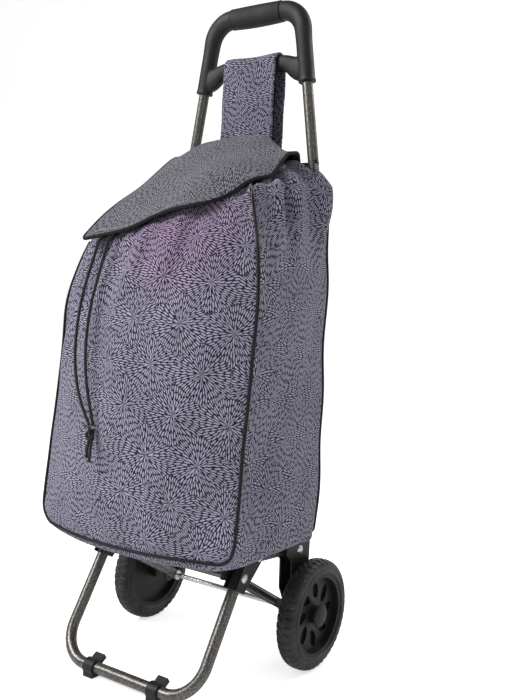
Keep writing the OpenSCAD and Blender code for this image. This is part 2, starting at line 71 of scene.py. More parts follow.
def makeCamera(s):
    yaw, pitch, roll = s["yaw"], s["pitch"], s["roll"]
    ahead = Vector((-math.sin(yaw) * math.cos(pitch), math.cos(yaw) * math.cos(pitch), math.sin(pitch)))
    side = ahead.cross(Vector((0, 0, 1))).normalized()
    above = side.cross(ahead)
    right = math.cos(roll) * side + math.sin(roll) * above
    up = math.cos(roll) * above - math.sin(roll) * side
    data = bpy.data.cameras.new("camera")
    data.sensor_width = s["sensor"]
    data.lens = s["focal"] / s["longSide"] * s["sensor"]
    camera = bpy.data.objects.new("camera", data)
    turn = Matrix((right, up, -ahead)).transposed().to_4x4()
    x, y, z = s["place"]
    camera.matrix_world = Matrix.Translation((x, y + axle.y, z)) @ turn
    bpy.context.scene.collection.objects.link(camera)
    bpy.context.scene.camera = camera


makeCamera(cameraSet)
bpy.context.scene.view_settings.view_transform = "Standard"


# ---- Shapes ----
def smooth(a, b, x):
    # 0 before a, 1 after b, with a soft start and end
    t = np.clip((x - a) / (b - a), 0, 1)
    return t * t * (3 - 2 * t)


def through(at, keys, values):
    # a smooth curve through a few given values: cubic pieces with the neighbours' slope
    keys, values = np.array(keys, float), np.array(values, float)
    slopes = np.gradient(values, keys)
    i = np.clip(np.searchsorted(keys, at) - 1, 0, len(keys) - 2)
    h = keys[i + 1] - keys[i]
    t = np.clip((at - keys[i]) / h, 0, 1)
    ends = (1 + 2 * t) * (1 - t) ** 2 * values[i] + t * t * (3 - 2 * t) * values[i + 1]
    return ends + t * (1 - t) ** 2 * h * slopes[i] + t * t * (t - 1) * h * slopes[i + 1]


def softPath(points, steps):
    # a curve through the points, each span a cubic with steps parts
    p = np.array(points, float)
    before, after = np.vstack([p[:1], p[:-2]]), np.vstack([p[2:], p[-1:]])
    t = (np.arange(steps) / steps)[None, :, None]
    a, b, c, d = (k[:, None, :] for k in (before, p[:-1], p[1:], after))
    spans = (b + t / 2 * (c - a) + t ** 2 * (a - 2.5 * b + 2 * c - d / 2)
             + t ** 3 * (1.5 * (b - c) + (d - a) / 2))
    return np.vstack([spans.reshape(-1, 3), p[-1:]])


def unit(v):
    return v / np.linalg.norm(v, axis=-1, keepdims=True)


def alongPath(path):
    # length along a path, from its first point
    return np.concatenate([[0], np.cumsum(np.linalg.norm(np.diff(path, axis=0), axis=1))])


def alongRows(grid):
    # length along each row of a grid of points, from its first column
    steps = np.linalg.norm(np.diff(grid, axis=1), axis=2)
    return np.hstack([np.zeros((len(grid), 1)), np.cumsum(steps, axis=1)])


def fullTurn(count):
    return np.linspace(0, 2 * np.pi, count, endpoint=False)


def oval(sides, width, height, power=1.0):
    a = fullTurn(sides)
    c, s = np.cos(a), np.sin(a)
    return np.stack([width / 2 * np.sign(c) * abs(c) ** power, height / 2 * np.sign(s) * abs(s) ** power], 1)


def meshPiece(name, points, faces, uv=None, parts=None):
    mesh = bpy.data.meshes.new(name)
    mesh.from_pydata(np.asarray(points).tolist(), [], [list(f) for f in faces])
    mesh.polygons.foreach_set("use_smooth", [True] * len(mesh.polygons))
    if parts is not None:
        mesh.polygons.foreach_set("material_index", parts)
    if uv is not None:
        layer = mesh.uv_layers.new(name="cloth")
        layer.data.foreach_set("uv", np.asarray(uv, np.float32).ravel())
    mesh.update()
    piece = bpy.data.objects.new(name, mesh)
    bpy.context.scene.collection.objects.link(piece)
    return piece


def gridPiece(name, grid, uv=None, around=False, capped=False, inward=False):
    # a surface from a grid of points; around joins its last column to its first, capped closes both ends
    rows, columns = grid.shape[:2]
    spans = columns if around else columns - 1
    r, c = np.meshgrid(np.arange(rows - 1), np.arange(spans), indexing="ij")
    corners = [(r, c), (r, c + 1), (r + 1, c + 1), (r + 1, c)]
    if inward:
        corners.reverse()
    quads = np.stack([i * columns + j % columns for i, j in corners], -1).reshape(-1, 4)
    points = grid.reshape(-1, 3)
    faces = quads.tolist()
    loops = None
    if uv is not None:
        wide = uv.shape[1]
        picked = np.stack([i * wide + np.minimum(j, wide - 1) for i, j in corners], -1)
        loops = uv.reshape(-1, 2)[picked.reshape(-1)]
    if capped:
        points = np.vstack([points, grid[0].mean(0), grid[-1].mean(0)])
        first, last = len(points) - 2, len(points) - 1
        ring = np.arange(columns)
        turn = np.roll(ring, -1)
        low = np.stack([turn, ring, np.full(columns, first)], 1)
        high = np.stack([ring, turn, np.full(columns, last)], 1) + np.array([1, 1, 0]) * (rows - 1) * columns
        if inward:
            low, high = low[:, ::-1], high[:, ::-1]
        faces += low.tolist() + high.tolist()
        if uv is not None:
            loops = np.vstack([loops, np.zeros((6 * columns, 2))])
    return meshPiece(name, points, faces, loops)


def carried(path, profile, aside, closed=False):
    # a profile carried along a path, square to it, with its first axis square to aside
    ahead = np.roll(path, -1, 0) - np.roll(path, 1, 0) if closed else np.gradient(path, axis=0)
    side = unit(np.cross(unit(ahead), np.array(aside, float)))
    up = np.cross(side, unit(ahead))
    profile = np.broadcast_to(profile, (len(path),) + profile.shape[-2:])
    return path[:, None] + profile[..., :1] * side[:, None] + profile[..., 1:] * up[:, None]


def tubePiece(name, path, profile, aside, closed=False):
    # a swept tube with its length and girth as its UV map
    grid = carried(path, profile, aside, closed)
    if closed:
        grid = np.concatenate([grid, grid[:1]])
    length = alongRows(grid.transpose(1, 0, 2))[:1].T
    radius = np.linalg.norm(profile[..., 0, :], axis=-1).mean()
    girth = np.linspace(0, 1, grid.shape[1] + 1)[None] * radius * 6.28
    uv = np.stack(np.broadcast_arrays(length, girth), -1)
    piece = gridPiece(name, grid, uv, around=True, capped=not closed, inward=True)
    if closed:
        mergeDoubles(piece)
    return piece


def onMesh(piece, change):
    # lets change work on the piece's points and faces
    work = bmesh.new()
    work.from_mesh(piece.data)
    work.verts.ensure_lookup_table()
    change(work)
    work.to_mesh(piece.data)
    work.free()


def mergeDoubles(piece):
    onMesh(piece, lambda work: bmesh.ops.remove_doubles(work, verts=work.verts, dist=1e-6))


def fixNormals(piece):
    onMesh(piece, lambda work: bmesh.ops.recalc_face_normals(work, faces=work.faces))


def turnOver(piece):
    onMesh(piece, lambda work: bmesh.ops.reverse_faces(work, faces=work.faces))


def finishWith(piece, *materials):
    for material in materials:
        piece.data.materials.append(material)
    return piece


def thicken(piece, thickness, inside=0):
    solid = piece.modifiers.new("cloth", "SOLIDIFY")
    solid.thickness = thickness
    solid.offset = -1
    solid.material_offset = inside
    solid.material_offset_rim = 0


# ---- Materials ----
class Tree:
    # short calls for a material's nodes; numbers go straight on the sockets
    def __init__(self, name):
        self.material = bpy.data.materials.new(name)
        self.material.use_nodes = True
        self.nodes = self.material.node_tree.nodes
        self.links = self.material.node_tree.links
        self.shader = self.nodes["Principled BSDF"]

    def put(self, socket, value):
        if isinstance(value, bpy.types.NodeSocket):
            self.links.new(value, socket)
        else:
            socket.default_value = value

    def node(self, kind, **values):
        made = self.nodes.new(kind)
        for key, value in values.items():
            setattr(made, key, value)
        return made

    def math(self, operation, a, b=0.0, c=None):
        made = self.node("ShaderNodeMath", operation=operation)
        self.put(made.inputs[0], a)
        self.put(made.inputs[1], b)
        if c is not None:
            self.put(made.inputs[2], c)
        return made.outputs[0]

    def vector(self, operation, a, b=(0, 0, 0)):
        made = self.node("ShaderNodeVectorMath", operation=operation)
        self.put(made.inputs[0], a)
        self.put(made.inputs[1], b)
        return made.outputs["Value"] if operation == "LENGTH" else made.outputs["Vector"]

    def ramp(self, value, low, high, start=0.0, end=1.0):
        made = self.node("ShaderNodeMapRange", interpolation_type="SMOOTHSTEP")
        for socket, number in zip(made.inputs[:5], (value, low, high, start, end)):
            self.put(socket, number)
        return made.outputs[0]

    def mix(self, share, a, b):
        made = self.node("ShaderNodeMix", data_type="RGBA")
        self.put(made.inputs[0], share)
        self.put(made.inputs[6], a)
        self.put(made.inputs[7], b)
        return made.outputs[2]

    def place(self, uv=False):
        made = self.node("ShaderNodeUVMap" if uv else "ShaderNodeTexCoord")
        if uv:
            made.uv_map = "cloth"
            return made.outputs["UV"]
        return made.outputs["Object"]

    def noise(self, where, scale, detail=3.0):
        made = self.node("ShaderNodeTexNoise")
        self.put(made.inputs["Vector"], where)
        made.inputs["Scale"].default_value = scale
        made.inputs["Detail"].default_value = detail
        return made.outputs[0]

    def cells(self, where, scale, feature="F1"):
        made = self.node("ShaderNodeTexVoronoi", feature=feature)
        self.put(made.inputs["Vector"], where)
        made.inputs["Scale"].default_value = scale
        return made.outputs["Distance"]

    def bump(self, height, depth, strength=1.0):
        made = self.node("ShaderNodeBump")
        made.inputs["Distance"].default_value = depth
        made.inputs["Strength"].default_value = strength
        self.put(made.inputs["Height"], height)
        self.put(self.shader.inputs["Normal"], made.outputs[0])

    def set(self, **values):
        for key, value in values.items():
            self.put(self.shader.inputs[key.replace("_", " ")], value)
        return self.material


def paint(r, g, b):
    return (r, g, b, 1.0)


def shade(tone, times):
    return tuple(times * k for k in tone[:3]) + (1.0,)


def weave(t, where, pitch):
    # over and under threads of a plain weave
    parts = t.node("ShaderNodeSeparateXYZ")
    t.put(parts.inputs[0], where)
    waves = [t.math("SINE", t.math("MULTIPLY", parts.outputs[k], 2 * math.pi / pitch)) for k in (0, 1)]
    return t.math("MULTIPLY_ADD", t.math("MULTIPLY", *waves), 0.5, 0.5)


# The print: the bursts' spacing, the rings' pitch, the dashes in the first ring and how many more
# each ring has, their width and length, and how uneven the rings and the bursts' borders are.
flower = {"across": 0.071, "up": 0.112, "ring": 0.0092, "first": 10.0, "more": 19.0,
          "dashWide": 0.36, "dashLong": 0.49, "jitter": 2.2, "ragged": 0.011}


def printedCloth(name, light, dark, sheen, shift=(0.0, 0.0), shadeUnderLid=False):
    # bursts of short dashes in rings about staggered centres, on a dark ground
    t = Tree(name)
    uv = t.place(uv=True)
    drift = t.node("ShaderNodeTexNoise")
    t.put(drift.inputs["Vector"], uv)
    drift.inputs["Scale"].default_value = 22
    wander = t.vector("SUBTRACT", drift.outputs["Color"], (0.5, 0.5, 0.5))
    wandered = t.vector("ADD", uv, t.vector("MULTIPLY", wander, (0.009, 0.009, 0)))
    moved = t.vector("SUBTRACT", wandered, (shift[0], shift[1], 0))
    size = (flower["across"], flower["up"], 1.0)
    steps = t.vector("DIVIDE", moved, size)
    reach, centres = [], []
    for offset in (0.0, 0.5):
        near = t.vector("SUBTRACT", steps, (offset, offset, 0))
        whole = t.vector("FLOOR", t.vector("ADD", near, (0.5, 0.5, 0)))
        away = t.vector("MULTIPLY", t.vector("SUBTRACT", near, whole), (size[0], size[1], 0))
        reach.append((away, t.vector("LENGTH", away)))
        centres.append(whole)
    ragged = t.math("MULTIPLY", t.math("SUBTRACT", t.noise(uv, 150, 0.0), 0.5), flower["ragged"])
    nearer = t.math("LESS_THAN", t.math("ADD", reach[0][1], ragged), reach[1][1])
    pick = t.node("ShaderNodeMix", data_type="VECTOR")
    t.put(pick.inputs[0], nearer)
    t.put(pick.inputs[4], reach[1][0])
    t.put(pick.inputs[5], reach[0][0])
    away = pick.outputs[1]
    radius = t.vector("LENGTH", away)
    parts = t.node("ShaderNodeSeparateXYZ")
    t.put(parts.inputs[0], away)
    turn = t.math("DIVIDE", t.math("ARCTAN2", parts.outputs[1], parts.outputs[0]), 2 * math.pi)
    heading = t.vector("ADD", t.vector("MULTIPLY", t.vector("NORMALIZE", away), (4.0, 4.0, 0)),
                       t.vector("MULTIPLY", centres[0], (7.3, 5.1, 0)))
    uneven = t.math("MULTIPLY", t.math("SUBTRACT", t.noise(heading, 1.0, 0.0), 0.5), flower["jitter"])
    rings = t.math("ADD", t.math("DIVIDE", radius, flower["ring"]), uneven)
    ring = t.math("FLOOR", rings)
    count = t.math("MULTIPLY_ADD", ring, flower["more"], flower["first"])
    spin = t.math("ADD", t.math("MULTIPLY", turn, count), t.math("MULTIPLY", ring, 0.37))
    across = t.math("DIVIDE", t.math("SUBTRACT", t.math("FRACT", spin), 0.5), flower["dashWide"])
    along = t.math("DIVIDE", t.math("SUBTRACT", t.math("FRACT", rings), 0.5), flower["dashLong"])
    inDash = t.math("ADD", t.math("MULTIPLY", across, across), t.math("MULTIPLY", along, along))
    dash = t.ramp(inDash, 1.05, 0.6)
    gap = t.math("ABSOLUTE", t.math("SUBTRACT", t.math("ADD", reach[0][1], ragged), reach[1][1]))
    dash = t.math("MULTIPLY", dash, t.ramp(gap, 0.0002, 0.0012))
    fade = t.ramp(t.noise(uv, 14, 2.0), 0.3, 0.75)
    lightTone = t.mix(fade, light, shade(light, 0.82))
    darkTone = t.mix(t.noise(uv, 900, 1.0), dark, shade(dark, 1.5))
    if shadeUnderLid:
        # painted shade: the print's light ink darkens to violet just below the lid's front edge
        fromLidShade = t.vector("LENGTH", t.vector("SUBTRACT", t.place(), (0.07, axle.y - 0.24, 0.615)))
        lightTone = t.mix(t.ramp(fromLidShade, 0.02, 0.13), paint(0.42, 0.30, 0.46), lightTone)
    t.set(Base_Color=t.mix(dash, darkTone, lightTone), Roughness=0.86, Specular_IOR_Level=0.25)
    t.set(Sheen_Weight=sheen, Sheen_Roughness=0.45)
    threads = weave(t, uv, 0.0011)
    fuzz = t.noise(uv, 2400, 2.0)
    raised = t.math("MULTIPLY_ADD", dash, 0.35, t.math("MULTIPLY", fuzz, 0.6))
    t.bump(t.math("ADD", threads, raised), 0.0002, 0.6)
    return t.material


def plainCloth(name, tone, roughness=0.8, uv=False, pitch=0.0012):
    t = Tree(name)
    where = t.place(uv=uv)
    worn = t.noise(where, 60)
    t.set(Base_Color=t.mix(worn, tone, shade(tone, 1.7)), Roughness=roughness, Specular_IOR_Level=0.3)
    t.bump(t.math("ADD", weave(t, where, pitch), t.noise(where, 1800)), 0.00015, 0.5)
    return t.material


def hammeredPaint():
    # glossy grey-brown paint with small raised cells and bright glints between them; the colour holds painted
    # highlights on the cells' tops and painted shade in the hollows between
    t = Tree("hammered_paint")
    where = t.place()
    cell = t.cells(where, 420)
    fine = t.noise(where, 900)
    # painted highlight and shade: the cells' middles take the lighter brown, the hollows between them the
    # darker
    tone = t.mix(t.ramp(cell, 0.15, 0.7), paint(0.21, 0.20, 0.185), paint(0.10, 0.093, 0.085))
    t.set(Base_Color=tone, Metallic=0.75, Roughness=t.ramp(fine, 0.2, 0.8, 0.24, 0.42))
    t.set(Coat_Weight=0.35, Coat_Roughness=0.18)
    t.bump(t.math("MULTIPLY_ADD", fine, 0.25, t.math("SUBTRACT", 1.0, cell)), 0.0003, 0.45)
    return t.material


def zincPlate():
    t = Tree("zinc_plate")
    where = t.place()
    cloud = t.noise(where, 160)
    t.set(Base_Color=t.mix(cloud, paint(0.62, 0.64, 0.68), paint(0.80, 0.80, 0.78)), Metallic=1.0)
    t.set(Roughness=t.ramp(t.noise(where, 600), 0.2, 0.8, 0.18, 0.38))
    t.bump(t.noise(where, 1500), 0.00006, 0.5)
    return t.material


def satinBlack(name, tone, roughness, grain, depth, metallic=0.0):
    # black paint or moulded plastic: worn patches and a fine grain
    t = Tree(name)
    where = t.place()
    patch = t.noise(where, 45)
    t.set(Base_Color=t.mix(patch, tone, shade(tone, 1.8)), Metallic=metallic, Specular_IOR_Level=0.35)
    t.set(Roughness=t.ramp(patch, 0.25, 0.75, roughness - 0.07, roughness + 0.08))
    t.bump(t.math("ADD", t.cells(where, grain), t.noise(where, grain * 1.7)), depth, 0.6)
    return t.material


def foamRubber():
    t = Tree("foam_rubber")
    where = t.place()
    dust = t.ramp(t.noise(where, 38), 0.35, 0.8)
    t.set(Base_Color=t.mix(dust, paint(0.012, 0.012, 0.013), paint(0.045, 0.043, 0.042)),
          Roughness=t.ramp(t.noise(where, 24), 0.3, 0.75, 0.30, 0.6), Specular_IOR_Level=0.35)
    t.bump(t.math("ADD", t.noise(where, 1300), t.cells(where, 800)), 0.00018, 0.7)
    return t.material


def braidedCord():
    # two sets of strands that cross round the cord
    t = Tree("braided_cord")
    parts = t.node("ShaderNodeSeparateXYZ")
    t.put(parts.inputs[0], t.place(uv=True))
    pitch = 0.0032
    length = t.math("MULTIPLY", parts.outputs[0], 2 * math.pi / pitch)
    girth = t.math("MULTIPLY", parts.outputs[1], 2 * math.pi / pitch)
    strands = [t.math("SINE", t.math(k, length, girth)) for k in ("ADD", "SUBTRACT")]
    braid = t.math("MAXIMUM", *strands)
    # painted shade: the colour is darker in the grooves between the strands and lighter on their raised tops
    t.set(Base_Color=t.mix(t.ramp(braid, -0.2, 1.0), paint(0.002, 0.002, 0.002), paint(0.012, 0.012, 0.013)))
    t.set(Roughness=0.7, Sheen_Weight=0.03)
    t.bump(braid, 0.00035, 0.8)
    return t.material


lightInk, darkInk = paint(0.42, 0.41, 0.52), paint(0.016, 0.013, 0.026)
bagCloth = printedCloth("bag_cloth", lightInk, darkInk, 0.05, shift=(0.128, 0.464), shadeUnderLid=True)
# the lid is the bag's cloth; its print is painted greyer and darker than the bag's, as painted sheen and
# shade
lidClothPaintedSheenShade = printedCloth("lid_cloth_painted_sheen_shade", paint(0.32, 0.315, 0.36), paint(0.018, 0.016, 0.025), 0.06)
strapCloth = printedCloth("strap_cloth", paint(0.33, 0.32, 0.42), darkInk, 0.06, shift=(0.02, 0.03))
lining = plainCloth("lining", paint(0.030, 0.022, 0.034), 0.75)
maroonLining = plainCloth("maroon_lining", paint(0.052, 0.010, 0.022), 0.7)
pipingSatin = plainCloth("piping_satin", paint(0.004, 0.004, 0.005), 0.5, uv=True, pitch=0.0008)
bindingTape = plainCloth("binding_tape", paint(0.006, 0.006, 0.006), 0.8, uv=True, pitch=0.0009)
threadMaterial = plainCloth("thread", paint(0.33, 0.33, 0.36), 0.6)
hammered = hammeredPaint()
zinc = zincPlate()
blackSteel = satinBlack("black_steel", paint(0.008, 0.008, 0.009), 0.34, 500, 0.00008)
hubPlastic = satinBlack("hub_plastic", paint(0.012, 0.011, 0.011), 0.40, 1400, 0.00008)
footPlastic = satinBlack("foot_plastic", paint(0.010, 0.010, 0.010), 0.45, 1200, 0.0001)
boardPlastic = satinBlack("board_plastic", paint(0.014, 0.014, 0.016), 0.6, 900, 0.0001)
handlePlastic = satinBlack("handle_plastic", paint(0.010, 0.010, 0.011), 0.50, 950, 0.00022)
gripRubber = satinBlack("grip_rubber", paint(0.008, 0.008, 0.008), 0.58, 1250, 0.0003)
rubber = foamRubber()
cordBraid = braidedCord()
print("materials made")

# CAD nodes that stay, with their finishes
finishes = {
    hammered: ["tube_left", "tube_right", "rail_left", "rail_right", "stand_tube", "stand_cross_bar",
               "brace_left", "brace_right"],
    zinc: ["axle", "axle_clips", "frame_rivets", "platform_rivets", "stand_rivets", "brace_rivets"],
    blackSteel: ["rear_bracket_left", "rear_bracket_right", "front_bracket_left", "front_bracket_right"],
    hubPlastic: ["hub_left", "hub_right", "hub_cap_left", "hub_cap_right"],
    footPlastic: ["foot_left", "foot_right", "axle_washers"],
    boardPlastic: ["base_board"],
}
for material, names in finishes.items():
    for name in names:
        nodes[name].data.materials.clear()
        nodes[name].data.materials.append(material)


def flattens(piece, body):
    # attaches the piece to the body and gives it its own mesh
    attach(piece, body)
    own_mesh(piece)


# ---- Drawcords and their knot ----
cordSet = {
    "diameter": 0.004, "sides": 10, "front": -0.222,
    # from the hem to the knot: in front of the bag's base and height, then across for each cord
    "down": [(-19, 628.5), (-8.5, 623), (4, 616), (16, 609.5), (28.5, 603), (38.5, 596.5), (42, 585),
             (46, 568), (50.5, 545), (56, 515), (60.5, 480), (63.5, 445), (65, 410), (65, 380), (65, 357)],
    "left": [-47, -47, -47, -47, -47.5, -48, -49, -51, -55, -58, -59, -57, -50, -38, -23.5],
    "right": [-31, -31, -31, -31, -31, -31, -31.5, -33, -36, -39, -40, -38, -32, -24, -16.5],
    # the tails and the knot: across, in front of the bag's base, height
    "tails": [[(-22.5, 66, 336), (-23.5, 67, 326), (-24, 67, 315)],
              [(-17.5, 66, 336), (-18, 67, 324), (-19, 67, 310)]],
    "knot": (-20, 66, 346), "knotHigh": 0.021, "knotWide": 0.011,
}


def cordPoints(route):
    r = np.array(route, float) / 1000
    return np.stack([r[:, 0], axle.y + cordSet["front"] - r[:, 1], r[:, 2]], 1)


def makeCords(s):
    strand = oval(s["sides"], s["diameter"], s["diameter"])
    made = []
    for side in ("left", "right"):
        path = softPath(cordPoints([(x, *rest) for x, rest in zip(s[side], s["down"])]), 8)
        cord = finishWith(tubePiece(f"drawcord_{side}_braid", path, strand, (1, 0, 0)), cordBraid)
        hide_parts(f"drawcord_{side}")
        made.append((cord, path))
    # an overhand knot: one strand that winds twice about the other
    at = cordPoints([s["knot"]])[0]
    a = fullTurn(90)
    wide, high = s["knotWide"] / 2 - 0.0012, s["knotHigh"] / 2 - 0.002
    lobes = 0.72 + 0.28 * np.cos(3 * a)
    loop = [wide * lobes * np.cos(2 * a), wide * 0.75 * np.sin(3 * a), high * lobes * np.sin(2 * a)]
    knot = tubePiece("cord_knot_wound", at + np.stack(loop, 1), strand * 1.05, (0.3, 1, 0.2), closed=True)
    tails = []
    for k, route in enumerate(s["tails"]):
        path = softPath(cordPoints([s["knot"]] + route), 8)
        tail = tubePiece(f"cord_tail_{k + 1}", path, strand * 0.95, (1, 0, 0))
        tails.append(finishWith(tail, cordBraid))
    finishWith(knot, cordBraid)
    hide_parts("cord_knot")
    for piece in [made[0][0], made[1][0], knot] + tails:
        flattens(piece, "frame")


makeCords(cordSet)
print("drawcords made")

# ---- Lid ----
lidSet = {
    "hingeY": -0.018, "rearZ": 0.751, "crown": 0.026, "crownRun": 0.026, "ridgeX": 0.026,
    "archRight": 0.098, "archLeft": 0.200, "slope": 0.78, "turn": 0.024, "turnSoft": 0.009,
    "frontLift": 0.042, "sideLift": 0.022, "rearDrop": 0.034, "leftDrop": 0.013, "belly": 0.006,
    # the outline's corners: across, forward from the hinge, and how round each is
    "outline": [(0.104, 0.0, 0.012), (-0.114, 0.0, 0.016), (-0.084, 0.240, 0.010), (0.118, 0.226, 0.05),
                (0.138, 0.125, 0.05), (0.128, 0.045, 0.02)],
    "thick": 0.0034, "rings": 46, "around": 420, "stitchIn": 0.007, "stitch": 0.0042,
    "middle": (0.0, 0.10), "halfAcross": 0.15,
}


def lidHeight(x, q):
    # rises to a ridge just in front of the hinge, then falls forward; q counts forward from the hinge
    s = lidSet
    off = x - s["ridgeX"]
    arch = 1 - (off / np.where(off > 0, s["archRight"], s["archLeft"])) ** 2
    rise = s["crown"] * np.clip(arch, -1, 1) * (1 - (1 - np.clip(q / s["crownRun"], 0, 1)) ** 2)
    w = s["turnSoft"]
    fall = s["slope"] * w * np.logaddexp(0, (q - s["turn"]) / w)
    frontLift = s["frontLift"] * smooth(-0.02, 0.125, x) * smooth(0.05, 0.17, q)
    sideLift = s["sideLift"] * smooth(0.10, 0.14, x) * smooth(0.02, 0.08, q)
    sideLift *= 1 - smooth(0.07, 0.13, q)
    rearDrop = s["rearDrop"] * smooth(0.045, 0.115, x) * (1 - smooth(0, 0.055, q))
    leftDrop = s["leftDrop"] * smooth(0.05, 0.11, -x) * (1 - smooth(0.10, 0.22, q))
    belly = s["belly"] * np.sin(np.pi * np.clip((q - 0.03) / 0.2, 0, 1)) * np.clip(arch, 0, 1)
    return s["rearZ"] + rise - fall + frontLift + sideLift - rearDrop - leftDrop + belly


def lidOver(x, y, far=1.0):
    # the lid's height over a place on the bag, y counted from the axle
    return lidHeight(x, np.clip(lidSet["hingeY"] - y, 0, far))


def roundedOutline(corners, radii, count):
    # a closed outline: straight edges between corners, each cut by an arc, spaced evenly
    corners = np.array(corners, float)
    points = []
    for before, at, after, r in zip(np.roll(corners, 1, 0), corners, np.roll(corners, -1, 0), radii):
        a, b = unit(before - at), unit(after - at)
        cut = r / math.tan(math.acos(float(np.clip(a @ b, -1, 1))) / 2)
        t = np.linspace(0, 1, 14)[:, None]
        start, end = at + a * cut, at + b * cut
        points.append((1 - t) ** 2 * start + 2 * t * (1 - t) * at + t ** 2 * end)
    line = np.vstack(points + [points[0][:1]])
    length = alongPath(line)
    at = np.linspace(0, length[-1], count, endpoint=False)
    return np.stack([np.interp(at, length, line[:, k]) for k in range(2)], 1)


def lidPoints(flat):
    x, q = flat[..., 0], flat[..., 1]
    return np.stack([x, axle.y + lidSet["hingeY"] - q, lidHeight(x, q)], -1)


def makeLid(s):
    corners = np.array(s["outline"])
    outline = roundedOutline(corners[:, :2], corners[:, 2], s["around"])
    centre = np.array(s["middle"])
    share = np.linspace(1, 0, s["rings"], endpoint=False)[:, None, None]
    flat = centre + share * (outline - centre)[None]
    ripple = 0.0012 * np.sin(flat[..., 0] * 46 + flat[..., 1] * 31) * share[..., 0]
    top = lidPoints(flat)
    top[..., 2] += ripple
    wrapped = np.concatenate([flat, flat[:, :1]], 1)
    lid = gridPiece("lid_flap", top, wrapped * 1.12, around=True)
    poleAndFix(lid, top[-1])
    finishWith(lid, lidClothPaintedSheenShade, lining)
    thicken(lid, s["thick"], inside=1)
    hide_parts("lid", "lid_stiffener")
    edge = top[0] + np.array([0, 0, -s["thick"] / 2])
    binding = tubePiece("lid_binding", edge, oval(10, 0.0038, 0.0050), (0, 0, 1), closed=True)
    finishWith(binding, bindingTape)
    # a row of stitches just inside the front edge
    inner = centre + (outline - centre) * (1 - s["stitchIn"] / s["halfAcross"])
    seam = lidPoints(inner)
    seam[:, 2] += 0.0005
    length = alongPath(seam)
    marks = np.arange(0.01, length[-1] - 0.01, s["stitch"])
    stitches = dashes("lid_stitches", seam, length, marks, 0.0027, 0.0008)
    for piece, slotName in ((lid, "printed_cloth"), (binding, "lining"), (stitches, "printed_cloth")):
        flattens(piece, "lid")
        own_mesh(piece)


def poleAndFix(piece, ring):
    # closes the middle of a grid of rings with one point
    def close(work):
        inner = work.verts[len(piece.data.vertices) - len(ring):]
        layer = work.loops.layers.uv.active
        near = {v: next(l[layer].uv.copy() for l in v.link_loops) for v in inner}
        pole = work.verts.new(Vector(ring.mean(0)))
        middleUv = sum(near.values(), Vector((0, 0))) / len(near)
        for a, b in zip(inner, inner[1:] + inner[:1]):
            face = work.faces.new((a, b, pole))
            face.smooth = True
            for loop in face.loops:
                loop[layer].uv = near.get(loop.vert, middleUv)
        bmesh.ops.recalc_face_normals(work, faces=work.faces)
        if sum(f.normal.z for f in work.faces) < 0:
            bmesh.ops.reverse_faces(work, faces=work.faces)

    onMesh(piece, close)


def dashes(name, line, length, marks, long, wide):
    # small rounded stitches laid along a line
    starts = np.stack([np.interp(marks, length, line[:, k]) for k in range(3)], 1)
    ends = np.stack([np.interp(marks + long, length, line[:, k]) for k in range(3)], 1)
    ahead = unit(ends - starts)
    side = unit(np.cross(ahead, [0, 0, 1.0]))
    up = np.cross(side, ahead)
    ring = oval(6, wide, wide)
    along = np.array([0.0, 0.12, 0.88, 1.0])
    swell = np.array([0.35, 1.0, 1.0, 0.35])
    centre = starts[:, None] + along[None, :, None] * (ends - starts)[:, None]
    wideways, upways = (ring[:, k][None, None, :, None] for k in (0, 1))
    across = wideways * side[:, None, None] + upways * up[:, None, None]
    grid = centre[:, :, None] + across * swell[None, :, None, None]
    count, rows, columns = grid.shape[:3]
    r, c = np.meshgrid(np.arange(rows - 1), np.arange(columns), indexing="ij")
    one = np.stack([r * columns + c, (r + 1) * columns + c, (r + 1) * columns + (c + 1) % columns,
                    r * columns + (c + 1) % columns], -1).reshape(-1, 4)
    quads = (one[None] + np.arange(count)[:, None, None] * rows * columns).reshape(-1, 4).tolist()
    caps = []
    for k in range(count):
        caps.append((np.arange(columns) + k * rows * columns).tolist())
        caps.append((np.arange(columns)[::-1] + (k * rows + rows - 1) * columns).tolist())
    piece = meshPiece(name, grid.reshape(-1, 3), quads + caps)
    fixNormals(piece)
    return finishWith(piece, threadMaterial)


makeLid(lidSet)
print("lid made")

